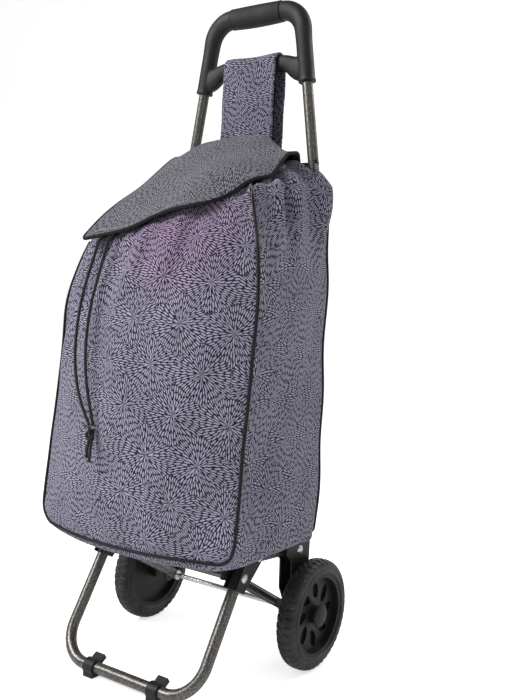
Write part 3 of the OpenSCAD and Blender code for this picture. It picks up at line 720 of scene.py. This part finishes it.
# ---- Bag ----
bagSet = {
    # heights of the sections, then what each has: the front's corners, its bulge, and the back corners
    "z": [0.190, 0.235, 0.285, 0.345, 0.410, 0.470, 0.530, 0.600, 0.660, 0.720],
    "leftX": [-0.166, -0.169, -0.167, -0.161, -0.159, -0.156, -0.150, -0.132, -0.125, -0.118],
    "rightX": [0.166, 0.170, 0.172, 0.174, 0.178, 0.181, 0.184, 0.178, 0.152, 0.135],
    "leftY": [-0.221, -0.225, -0.221, -0.220, -0.219, -0.217, -0.211, -0.197, -0.185, -0.170],
    "rightY": [-0.221, -0.223, -0.222, -0.222, -0.222, -0.222, -0.222, -0.220, -0.196, -0.180],
    "bulge": [0.028, 0.043, 0.053, 0.060, 0.062, 0.062, 0.058, 0.047, 0.035, 0.030],
    "backX": [0.162, 0.166, 0.168, 0.165, 0.163, 0.161, 0.161, 0.162, 0.161, 0.146],
    "backOut": [0.000, 0.012, 0.036, 0.043, 0.043, 0.038, 0.033, 0.024, 0.012, 0.0],
    "backY": -0.0125, "backCorner": 0.022, "sideOut": 0.007, "lowRound": 0.008,
    "rightCorner": 0.042, "leftCorner": 0.030,
    # where the walls end at the top: along the front, then the heights at the back
    "frontEdge": [(-0.16, 0.584), (-0.09, 0.595), (0.0, 0.614), (0.07, 0.637), (0.12, 0.662),
                  (0.16, 0.676)],
    "rightBackTop": 0.698, "leftBackTop": 0.712, "sag": 0.006, "drawn": 0.006, "backTop": 0.733,
    "across": 120, "deep": 56, "rows": 124, "shoulderRows": 22, "thick": 0.0022,
    "mouthHalf": (0.118, 0.085), "mouthY": -0.113, "pipe": 0.0044,
    # half widths and depths that folds, rounding and the bow between the tubes are counted in
    "halfWide": 0.17, "halfDeep": 0.12, "footDeep": 0.11, "bowHalf": 0.112,
    # creases from the cord: where, how far each leans, its width, its top and its depth
    "creases": [(-0.105, 0.35, 0.011, 0.60, -0.0045), (-0.078, 0.22, 0.009, 0.60, 0.0038),
                (-0.052, 0.10, 0.008, 0.60, -0.0040), (-0.018, 0.05, 0.010, 0.60, -0.0028),
                (0.035, -0.08, 0.014, 0.60, -0.0018), (-0.128, 0.40, 0.010, 0.56, 0.0030)],
}


def drawnBack(r, past):
    # how far an edge that is rounded with radius r has drawn back, past its start
    return r * (1 - np.sqrt(1 - np.clip(past / r, 0, 1) ** 2))


def bow(x):
    # the share of the bow between the two tubes
    return np.clip(1 - (x / bagSet["bowHalf"]) ** 2, 0, 1)


def foldWave(turn):
    return np.sin(turn * 17 + 0.8 * np.sin(turn * 5)) + 0.4 * np.sin(turn * 31 + 1.3)


def bagSection(panel, s, z):
    # a point of the wall: panel 0 front, 1 right, 2 back, 3 left; s runs 0 to 1 along it
    b = bagSet
    leftX, rightX, leftY, rightY, bulge, backX, backOut = (
        through(z, b["z"], b[k]) for k in ("leftX", "rightX", "leftY", "rightY", "bulge", "backX", "backOut"))
    low = b["z"][0]
    cut = {side: drawnBack(b[side + "Corner"], low + b[side + "Corner"] - z) for side in ("left", "right")}
    r = b["backCorner"]
    if panel == 0:
        xa, xb = leftX + cut["left"], rightX - cut["right"]
        x = xa + (xb - xa) * s
        y = leftY + (rightY - leftY) * s - bulge * (1 - abs(2 * s - 1) ** 2.1)
        return x, y
    if panel == 2:
        edge = backX - r
        x = edge * (1 - 2 * s)
        y = b["backY"] + backOut * bow(x) ** 1.5
        return x, y
    sign = 1 if panel == 1 else -1
    t = s if panel == 1 else 1 - s
    frontX = rightX if panel == 1 else -leftX
    frontY = rightY if panel == 1 else leftY
    inset = cut["right"] if panel == 1 else cut["left"]
    y = frontY + (b["backY"] - frontY) * (1 - (1 - t) ** 1.15)
    x = frontX + (backX - frontX) * smooth(0, 1, t) + b["sideOut"] * np.sin(np.pi * t)
    x = x - inset * np.clip(1 - t / 0.28, 0, 1) ** 2
    x = x - drawnBack(r, y - (b["backY"] - r))
    return sign * x, y


def bagColumns():
    # the panel and place along it of every column, starting at the front's left corner
    b = bagSet
    panels, places = [], []
    for panel, count in ((0, b["across"]), (1, b["deep"]), (2, b["across"]), (3, b["deep"])):
        panels += [panel] * count
        s = np.arange(count) / count
        if panel == 1:
            s = 1 - (1 - s) ** 1.4
        if panel == 3:
            s = s ** 1.4
        places += s.tolist()
    return np.array(panels), np.array(places)


def mouthRing(turn):
    b = bagSet
    c, s = np.cos(turn), np.sin(turn)
    x = b["mouthHalf"][0] * np.sign(c) * abs(c) ** 0.8
    y = b["mouthY"] + b["mouthHalf"][1] * np.sign(s) * abs(s) ** 0.8
    z = lidOver(x, y) - 0.018 - 0.010 * smooth(0.08, 0.18, lidSet["hingeY"] - y)
    return np.stack([x, y, z], -1)


def bagGrid():
    b = bagSet
    panels, places = bagColumns()
    frontX, frontZ = np.array(b["frontEdge"]).T
    edgeZ = through(-0.15 + 0.31 * places, frontX, frontZ)
    for panel, near, far in ((1, frontZ[-1], b["rightBackTop"]), (3, b["leftBackTop"], frontZ[0])):
        edgeZ = np.where(panels == panel, near + (far - near) * smooth(-0.2, 1.2, places), edgeZ)
    backTops = [b["rightBackTop"], 0.724, b["backTop"], 0.730, b["leftBackTop"]]
    backEdge = through(places, [0, 0.25, 0.5, 0.8, 1], backTops)
    edgeZ = np.where(panels == 2, backEdge, edgeZ)
    low = b["z"][0]
    up = (np.linspace(0, 1, b["rows"]) ** 1.2)[:, None]
    z = low - 0.0008 + (edgeZ[None] - low) * up
    x, y = np.zeros_like(z), np.zeros_like(z)
    for panel in range(4):
        at = panels == panel
        x[:, at], y[:, at] = bagSection(panel, places[None, at], z[:, at])
    hang = np.where(panels == 0, -b["sag"], 0.0)
    for panel, t in ((1, places), (3, 1 - places)):
        rise = -b["sag"] + (b["drawn"] + b["sag"]) * smooth(0.0, 0.35, t) - b["drawn"] * smooth(0.75, 1.0, t)
        hang = np.where(panels == panel, rise, hang)
    inset = drawnBack(b["lowRound"], low + b["lowRound"] - z)
    x *= 1 - inset / b["rightX"][0]
    y = b["mouthY"] + (y - b["mouthY"]) * (1 - inset / b["footDeep"])
    # gathers grow towards the top of the sides, and a few creases fall from the cord
    outX, outY = x / b["halfWide"], (y - b["mouthY"]) / b["halfDeep"]
    size = np.hypot(outX, outY)
    outX, outY = outX / size, outY / size
    turn = np.arctan2(y - b["mouthY"], x)
    sides = np.where((panels == 1) | (panels == 3), 1.0, 0.25)[None]
    sides = np.where(panels == 2, 0.12, sides)
    gather = smooth(-0.14, 0.0, z - edgeZ[None]) * sides
    push = 0.0100 * gather * foldWave(turn + 1.6 * (edgeZ[None] - z))
    for x0, lean, width, top, depth in b["creases"]:
        line = x0 - lean * (top - z)
        crease = np.exp(-((x - line) / (width + 0.05 * np.clip(top - z, 0, 1))) ** 2)
        push += 1.7 * depth * crease * smooth(0.30, 0.52, z) * (panels == 0)[None]
    wave = np.sin(9 * turn + 17 * z) * np.sin(31 * z - 4 * turn) + 0.5 * np.sin(22 * turn - 40 * z)
    push += 0.0013 * wave * smooth(0.20, 0.26, z) * np.where(panels == 2, 0.3, 1.0)[None]
    nearCorner = np.where(panels == 2, 0.0, 1.0)[None]
    push += -0.0022 * nearCorner * np.exp(-((z - 0.222) / 0.012) ** 2) * np.sin(turn * 13)
    x, y = x + outX * push, y + outY * push
    walls = np.stack([x, y, z + hang[None] * (1 - smooth(0, 0.08, z - low))], -1)
    # the shoulder turns in from the wall's top to the mouth
    edge = walls[-1]
    mouth = mouthRing(np.arctan2((edge[:, 1] - b["mouthY"]) / b["halfDeep"], edge[:, 0] / b["halfWide"]))
    t = (np.arange(1, b["shoulderRows"] + 1) / b["shoulderRows"])[:, None, None]
    lift = edge + 0.45 * (mouth - edge) + np.array([0, 0, 0.006])
    lift[:, 2] = np.maximum(edge[:, 2], mouth[:, 2]) + 0.001
    shoulder = (1 - t) ** 2 * edge + 2 * t * (1 - t) * lift + t ** 2 * mouth
    shoulderTurn = np.arctan2(shoulder[..., 1] - b["mouthY"], shoulder[..., 0])
    shoulderShare = np.sin(np.pi * np.clip(t[..., 0] * 0.9, 0, 1))
    shoulder[..., 2] += 0.0060 * foldWave(shoulderTurn) * shoulderShare * (0.4 + 0.6 * sides)
    under = lidOver(shoulder[..., 0], shoulder[..., 1]) - 0.010
    inLid = (shoulder[..., 0] < 0.150) & (shoulder[..., 0] > -0.12) & (shoulder[..., 1] > -0.270)
    shoulder[..., 2] = np.where(inLid, np.minimum(shoulder[..., 2], under), shoulder[..., 2])
    grid = np.concatenate([walls, shoulder])
    topLimit = lidOver(np.clip(grid[..., 0], -0.100, 0.135), grid[..., 1], 0.222) - 0.006
    covered = (grid[..., 0] < 0.140) & (grid[..., 0] > -0.115) & (grid[..., 1] < -0.02)
    grid[..., 2] = np.where(covered, np.minimum(grid[..., 2], topLimit), grid[..., 2])
    grid[..., 1] += axle.y
    return grid


def makeBag(b):
    grid = bagGrid()
    wrapped = np.concatenate([grid, grid[:, :1]], 1)
    girth = alongRows(wrapped)
    girth -= girth[:, b["across"] // 2][:, None]
    height = alongRows(wrapped.transpose(1, 0, 2)).T + b["z"][0]
    bag = gridPiece("bag_walls", grid, np.stack([girth, height], -1), around=True)
    finishWith(bag, bagCloth, lining)
    thicken(bag, b["thick"], inside=1)
    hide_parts("bag_front", "bag_back", "bag_side_left", "bag_side_right")
    # the floor closes the bottom and turns with the platform
    ring = grid[0]
    centre = ring.mean(0)
    share = np.linspace(1, 0, 14, endpoint=False)[:, None, None]
    disc = centre + share * (ring - centre)[None]
    disc[..., 2] = b["z"][0] - 0.0008 + (ring[:, 2] - b["z"][0] + 0.0008) * share[..., 0] ** 16
    floor = gridPiece("bag_floor_cloth", disc, np.concatenate([disc, disc[:, :1]], 1)[..., :2], around=True)
    poleAndFix(floor, disc[-1])
    turnOver(floor)
    finishWith(floor, bagCloth, lining)
    thicken(floor, 0.0015, inside=1)
    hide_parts("bag_floor")
    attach(floor, "platform")
    # black piping: up both front edges and along the bottom, and the same at the back
    profile = oval(10, b["pipe"], b["pipe"])
    start, right, back, left = 0, b["across"], b["across"] + b["deep"], 2 * b["across"] + b["deep"]
    row = int(np.argmax(grid[:, right // 2, 2] > b["z"][0] + 0.0055))
    top = b["rows"] - 3
    over = b["rows"] + 4
    frontPath = np.vstack([grid[over:row:-1, start], grid[row, start:right + 1], grid[row + 1:over, right]])
    # the back one runs a few columns outside the back panel
    first, last = back - 9, left + 9
    backPath = np.vstack([grid[top:row:-1, first], grid[row, first:last + 1], grid[row + 1:top, last]])
    pipings = []
    for name, path in (("piping_front", frontPath), ("piping_back", backPath)):
        padded = np.pad(path, ((4, 4), (0, 0)), mode="edge")
        eased = np.stack([np.convolve(padded[:, k], np.ones(9) / 9, "valid") for k in range(3)], 1)
        away = unit(eased - np.array([0, axle.y + b["mouthY"], 0]) * [1, 1, 0] - eased * [0, 0, 1])
        pipe = tubePiece(name, eased + 0.0012 * away, profile, (0, 1, 0.02))
        pipings.append(finishWith(pipe, pipingSatin))
    # the rolled hem round the mouth, which the cord runs in
    a = fullTurn(260)
    hemLine = mouthRing(a) + np.stack([0 * a, 0 * a, 0.0012 * np.sin(a * 23) - 0.003], 1)
    hemLine[:, 1] += axle.y
    hem = tubePiece("mouth_hem_roll", hemLine, oval(12, 0.0085, 0.011), (0, 0, 1), closed=True)
    finishWith(hem, bagCloth)
    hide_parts("mouth_hem")
    for piece, slotName in ((bag, "printed_cloth"), (hem, "printed_cloth"),
                            (pipings[0], "lining"), (pipings[1], "lining")):
        flattens(piece, "frame")


makeBag(bagSet)
print("bag made")


# ---- Tunnel of cloth round the upright tubes ----
sleeveSet = {"tubeX": 0.1277, "half": 0.1375, "tubeOut": 0.0105, "columns": 150, "rows": 70, "thick": 0.002,
             "leanFrom": 0.645, "lean": 0.1546}


def makeSleeve(s):
    z = np.linspace(sleeveLow.z, sleeveHigh.z, s["rows"])[:, None]
    t = np.linspace(-1, 1, s["columns"])[None]
    leanIn = s["lean"] * np.clip(z - s["leanFrom"], 0, 1)
    half = s["half"] - 0.8 * leanIn
    x = half * t
    tubeX = s["tubeX"] - leanIn
    out = through(z, bagSet["z"], bagSet["backOut"])
    cloth = bagSet["backY"] + out * bow(x) ** 1.5 + 0.004
    overTube = s["tubeOut"] - np.clip(abs(x) - tubeX, 0, 1) ** 2 * 190
    bridge = s["tubeOut"] - 0.006 * bow(x)
    y = np.where(abs(x) > tubeX, overTube, np.maximum(bridge, cloth))
    y += 0.0011 * np.sin(z * 70 + x * 25) * np.clip(1 - (x / 0.11) ** 2, 0, 1)
    y = np.where(abs(t) > 0.995, bagSet["backY"] - 0.001, y)
    grid = np.stack([x, y + axle.y, z + 0 * x], -1)
    uv = np.stack([alongRows(grid), grid[..., 2]], -1)
    sleeve = gridPiece("sleeve_cloth", grid, uv, inward=True)
    finishWith(sleeve, bagCloth, lining)
    thicken(sleeve, s["thick"], inside=1)
    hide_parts("tube_sleeve")
    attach(sleeve, "frame")
    # a bound edge along the sleeve's foot and its top
    for name, row in (("sleeve_foot_binding", 0), ("sleeve_top_binding", -1)):
        line = grid[row] + np.array([0, -0.001, 0])
        tape = finishWith(tubePiece(name, line, oval(8, 0.0036, 0.006), (0, 0, 1)), bindingTape)
        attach(tape, "frame")


makeSleeve(sleeveSet)


# ---- Carrying strap over the crossbar ----
strapSet = {"thick": 0.0026, "across": 30, "straight": 60, "over": 40, "gap": 0.0009}


def makeStrap(s):
    bar = 0.0115 + s["gap"] + s["thick"] / 2
    top = strapHigh.z - bar - s["thick"] / 2
    low = strapLow.z
    rise = np.linspace(low, top, s["straight"], endpoint=False)
    turn = np.linspace(0, np.pi, s["over"])
    # up in front, over the bar and down behind, with a slight belly in each run
    sway = 0.0016 * np.sin(np.pi * (rise - low) / (top - low))
    y = np.concatenate([-bar - sway, -bar * np.cos(turn), (bar + sway)[::-1]])
    z = np.concatenate([rise, top + bar * np.sin(turn), rise[::-1]])
    path = np.stack([0 * y, y + axle.y, z], 1)
    ahead = unit(np.gradient(path, axis=0))
    out = np.stack([0 * y, -ahead[:, 2], ahead[:, 1]], 1)
    half = (strapHigh.x - strapLow.x) / 2 - 0.0005
    length = alongPath(path)
    x = np.linspace(-half, half, s["across"])
    ripple = 0.0009 * np.sin(x[None] * 75 + length[:, None] * 30) + 0.0006 * np.sin(length[:, None] * 95)
    line = path[:, None] + x[None, :, None] * np.array([1, 0, 0])
    outer = line + out[:, None] * (s["thick"] / 2 + ripple[..., None])
    inner = line + out[:, None] * (-s["thick"] / 2 + ripple[..., None] * 0.6)
    uv = np.stack(np.broadcast_arrays(x[None], length[:, None]), -1)
    closedLoop = np.concatenate([outer, inner[:, ::-1]], 1)
    closedUv = np.concatenate([uv, uv[:, ::-1], uv[:, :1]], 1)
    strap = gridPiece("strap_band", closedLoop, closedUv, around=True, capped=True)
    fixNormals(strap)
    # the print on the outside, wrapped round the edges; the lining shows on the inside
    n = s["across"]
    parts = np.zeros(len(strap.data.polygons), int)
    spans = (len(path) - 1) * 2 * n
    column = np.arange(spans) % (2 * n)
    margin = n // 6
    parts[:spans] = np.where((column >= n + margin) & (column < 2 * n - 1 - margin), 1, 0)
    strap.data.polygons.foreach_set("material_index", parts.tolist())
    finishWith(strap, strapCloth, maroonLining)
    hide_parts("strap")
    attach(strap, "frame")
    for side, name in ((-1, "strap_stitches_left"), (1, "strap_stitches_right")):
        seam = path + np.array([side * (half - 0.004), 0, 0]) + out * (s["thick"] / 2 + 0.0004)
        marks = np.arange(0.006, length[-1] - 0.006, 0.0042)
        stitches = dashes(name, seam, length, marks, 0.0027, 0.0007)
        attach(stitches, "frame")


makeStrap(strapSet)
print("sleeve and strap made")

# ---- Tyres ----
tyreSet = {
    "blocks": 42, "depth": 0.0021, "around": 504, "lean": 0.62,
    # the section: share of the half width, with the height over the hub, then the drop from the top
    "bead": [(0.86, 0.0004), (0.90, 0.0024), (0.99, 0.0034), (1.0, 0.0056), (0.95, 0.0078)],
    "shoulder": [(0.94, 0.0095), (0.86, 0.0058), (0.70, 0.0032), (0.48, 0.0020), (0.24, 0.0014), (0, 0.0012)],
}


def makeTyre(side, s):
    low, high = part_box(f"tyre_{side}")
    centre = (low + high) / 2
    radius, half = (high.z - low.z) / 2, (high.x - low.x) / 2
    hubLow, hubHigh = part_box(f"hub_{side}")
    hubRadius = (hubHigh.z - hubLow.z) / 2
    # the section from one edge, over the tread, to the other: across, radius
    wall = [(-half * share, hubRadius + rise) for share, rise in s["bead"]]
    wall += [(-half * share, radius - drop) for share, drop in s["shoulder"]]
    wall += [(-a, r) for a, r in reversed(wall[:-1])]
    section = softPath(np.array([(a, r, 0) for a, r in wall]), 3)[:, :2]
    turn = fullTurn(s["around"])[:, None]
    across, base = section[None, :, 0], section[None, :, 1]
    share = across / half
    # chevron blocks: wavy grooves that lean the other way past the middle
    phase = turn * s["blocks"] / (2 * np.pi) + s["lean"] * abs(share) + 0.16 * np.sin(share * 7)
    groove = smooth(0.30, 0.46, abs((phase % 1) - 0.5))
    rib = smooth(0.10, 0.20, abs(share))
    onTread = smooth(radius - 0.013, radius - 0.004, base)
    lift = s["depth"] * onTread * (1 - groove) * rib
    lift = lift + 0.0009 * onTread * (1 - rib) - 0.0009 * onTread * groove
    r = base + lift * 0.55
    grid = np.stack([across + 0 * r, r * np.cos(turn), r * np.sin(turn)], -1) + np.array(centre)
    tyre = gridPiece(f"tyre_{side}_tread", grid.transpose(1, 0, 2), around=True)
    closeInside(tyre, grid)
    finishWith(tyre, rubber)
    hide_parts(f"tyre_{side}")
    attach(tyre, f"wheel_{side}")


def closeInside(piece, grid):
    # joins the tyre's two inner edges with the seat that lies on the hub
    around, section = grid.shape[:2]
    last = (section - 1) * around

    def close(work):
        for k in range(around):
            j = (k + 1) % around
            work.faces.new([work.verts[i] for i in (k, j, last + j, last + k)])
        bmesh.ops.recalc_face_normals(work, faces=work.faces)

    onMesh(piece, close)


for side in ("left", "right"):
    makeTyre(side, tyreSet)
print("tyres made")

# ---- Handle ----
handleSet = {
    # the hoop: where its feet meet the tubes, its lean in degrees, its sides and corners
    "socket": 0.852, "halfFoot": 0.0957, "lean": 8.79, "side": 0.024, "corner": 0.038,
    "gripHigh": 0.032, "gripDeep": 0.027, "gripSwell": 0.0022,
    "barZ": 0.8845, "barHigh": 0.023, "barDeep": 0.020, "barHalf": 0.086, "barDrop": 0.012,
    "voxel": 0.0011, "barSteps": 90, "gripSteps": 80,
}


def joined(name, pieces, voxel, passes):
    # melts overlapping closed pieces into one moulding with soft inside corners
    points, faces, start = [], [], 0
    for piece in pieces:
        points += [tuple(v.co) for v in piece.data.vertices]
        faces += [[start + i for i in f.vertices] for f in piece.data.polygons]
        start = len(points)
        bpy.data.objects.remove(piece)
    whole = meshPiece(name, points, faces)
    remesh = whole.modifiers.new("melt", "REMESH")
    remesh.mode = "VOXEL"
    remesh.voxel_size = voxel
    ease = whole.modifiers.new("ease", "SMOOTH")
    ease.factor = 0.5
    ease.iterations = passes
    seen = whole.evaluated_get(bpy.context.evaluated_depsgraph_get())
    done = bpy.data.meshes.new_from_object(seen)
    whole.modifiers.clear()
    whole.data = done
    done.polygons.foreach_set("use_smooth", [True] * len(done.polygons))
    return whole


def makeHandle(s):
    socket, halfFoot, lean = s["socket"], s["halfFoot"], math.radians(s["lean"])
    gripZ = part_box("handle")[1].z - s["gripHigh"] / 2
    sideLength = (gripZ - s["corner"] - socket + s["corner"] * math.sin(lean)) / math.cos(lean)
    topX = halfFoot - sideLength * math.sin(lean)
    topZ = socket + sideLength * math.cos(lean)
    centreX, centreZ = topX - s["corner"] * math.cos(lean), topZ - s["corner"] * math.sin(lean)
    # one D-shaped path: up the right side, round the corners, down the left
    up = np.linspace(0, 1, 60, endpoint=False)[:, None]
    rightSide = np.array([[halfFoot, socket]]) + up * np.array([[topX - halfFoot, topZ - socket]])
    a = np.linspace(lean, np.pi / 2, 40)[:, None]
    corner = np.array([[centreX, centreZ]]) + s["corner"] * np.hstack([np.cos(a), np.sin(a)])
    half = np.vstack([rightSide, corner])
    middlePart = np.stack([np.linspace(corner[-1, 0], 0, 30)[1:], np.full(29, corner[-1, 1])], 1)
    half = np.vstack([half, middlePart])
    line = np.vstack([half, half[-2::-1] * np.array([-1, 1])])
    path = np.stack([line[:, 0], np.full(len(line), axle.y), line[:, 1]], 1)
    nearTop = smooth(socket + 0.055, gripZ - 0.004, path[:, 2])
    flare = 1 + 0.09 * (1 - smooth(0.0, 0.007, path[:, 2] - socket))
    wide = (s["side"] + (s["gripHigh"] - 0.003 - s["side"]) * nearTop) * flare
    deep = (s["side"] + (s["gripDeep"] - 0.003 - s["side"]) * nearTop) * flare
    ring = oval(28, 1, 1, 0.92)
    profile = ring[None] * np.stack([wide, deep], 1)[:, None]
    hoop = tubePiece("hoop", path, profile, (0, 1, 0))
    # the crossbar, thicker where it arches down into the sides
    count = s["barSteps"]
    t = np.linspace(-1, 1, count)
    drop = s["barDrop"] * smooth(0.62, 1.0, abs(t))
    barPath = np.stack([t * s["barHalf"], np.full(count, axle.y), s["barZ"] - drop], 1)
    swell = 1 + 0.55 * smooth(0.66, 1.0, abs(t))
    barSize = np.stack([np.full(count, s["barDeep"]), s["barHigh"] * swell], 1)
    barProfile = oval(28, 1, 1, 0.8)[None] * barSize[:, None]
    bar = tubePiece("bar", barPath, barProfile, (0, 0, 1))
    handle = joined("handle_moulding", [hoop, bar], s["voxel"], 6)
    finishWith(handle, handlePlastic)
    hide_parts("handle")
    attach(handle, "frame")
    # the grip sleeve: fuller in its middle, with a rolled lip at each end
    gripLow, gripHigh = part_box("grip_sleeve")
    gx = np.linspace(gripLow.x + 0.0006, gripHigh.x - 0.0006, s["gripSteps"])
    u = gx / gripHigh.x
    lip = np.exp(-((abs(u) - 0.955) / 0.02) ** 2)
    end = 1 - 0.10 * smooth(0.975, 1.0, abs(u))
    gripPath = np.stack([gx, np.full(s["gripSteps"], axle.y), gripZ - 0.0006 * (1 - u ** 2)], 1)
    tall = (s["gripHigh"] - 0.0016 + s["gripSwell"] * (1 - u ** 2) + 0.0006 * lip) * end
    thickness = (s["gripDeep"] - 0.0006 + 0.0012 * (1 - u ** 2) + 0.0006 * lip) * end
    gripProfile = oval(40, 1, 1, 0.86)[None] * np.stack([thickness, tall], 1)[:, None]
    grip = tubePiece("grip_cover", gripPath, gripProfile, (0, 0, 1))
    finishWith(grip, gripRubber)
    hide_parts("grip_sleeve")
    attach(grip, "frame")


makeHandle(handleSet)
print("handle made")

# ---- Floor and light ----
studio = {
    "floorHalf": 9.0, "wallAt": 3.2, "bend": 1.2, "world": 0.30, "glow": 0.55, "spill": 0.08,
    "aim": (0, 0, 0.5),
    # each light's name, place, size and power
    "lights": [("key", (-1.5, -2.0, 2.3), 1.6, 82), ("fill", (2.4, -1.2, 1.3), 1.4, 4),
               ("rim", (1.2, 2.0, 2.4), 1.2, 24)],
}


def makeStudio(s):
    # a pale floor that sweeps up into the backdrop
    run, bend = s["floorHalf"], s["bend"]
    a = np.linspace(0, np.pi / 2, 24)
    y = np.concatenate([[-run], s["wallAt"] + bend * np.sin(a), [s["wallAt"] + bend]])
    z = np.concatenate([[0], bend * (1 - np.cos(a)), [run]])
    x = np.array([-run, run])
    grid = np.stack(np.broadcast_arrays(x[None], y[:, None], z[:, None]), -1) - np.array([0, 0, 0.0002])
    t = Tree("studio_paper")
    paper = t.mix(t.noise(t.place(), 3.0), paint(0.93, 0.93, 0.93), paint(0.96, 0.96, 0.96))
    t.set(Base_Color=paper, Roughness=0.9)
    # it glows for the camera and spills a little light on the object
    seen = t.node("ShaderNodeLightPath").outputs["Is Camera Ray"]
    glow = t.math("MULTIPLY_ADD", seen, s["glow"], s["spill"])
    t.set(Emission_Color=paint(1, 1, 1), Emission_Strength=glow)
    floor = finishWith(gridPiece("studio_floor", grid, inward=False), t.material)
    # a world that is white to the camera and dimmer as a light
    world = bpy.data.worlds.new("studio")
    world.use_nodes = True
    tree = world.node_tree
    back = tree.nodes["Background"]
    back.inputs["Color"].default_value = (1, 1, 1, 1)
    path, strength = tree.nodes.new("ShaderNodeLightPath"), tree.nodes.new("ShaderNodeMath")
    strength.operation = "MULTIPLY_ADD"
    strength.inputs[1].default_value = 1.0
    strength.inputs[2].default_value = s["world"]
    tree.links.new(path.outputs["Is Camera Ray"], strength.inputs[0])
    tree.links.new(strength.outputs[0], back.inputs["Strength"])
    bpy.context.scene.world = world
    for name, place, size, power in s["lights"]:
        data = bpy.data.lights.new(name, "AREA")
        data.energy = power
        data.size = size
        light = bpy.data.objects.new(name, data)
        light.location = place
        aim = Vector(s["aim"]) - Vector(place)
        light.rotation_euler = aim.to_track_quat("-Z", "Y").to_euler()
        bpy.context.scene.collection.objects.link(light)


makeStudio(studio)
print("studio made")
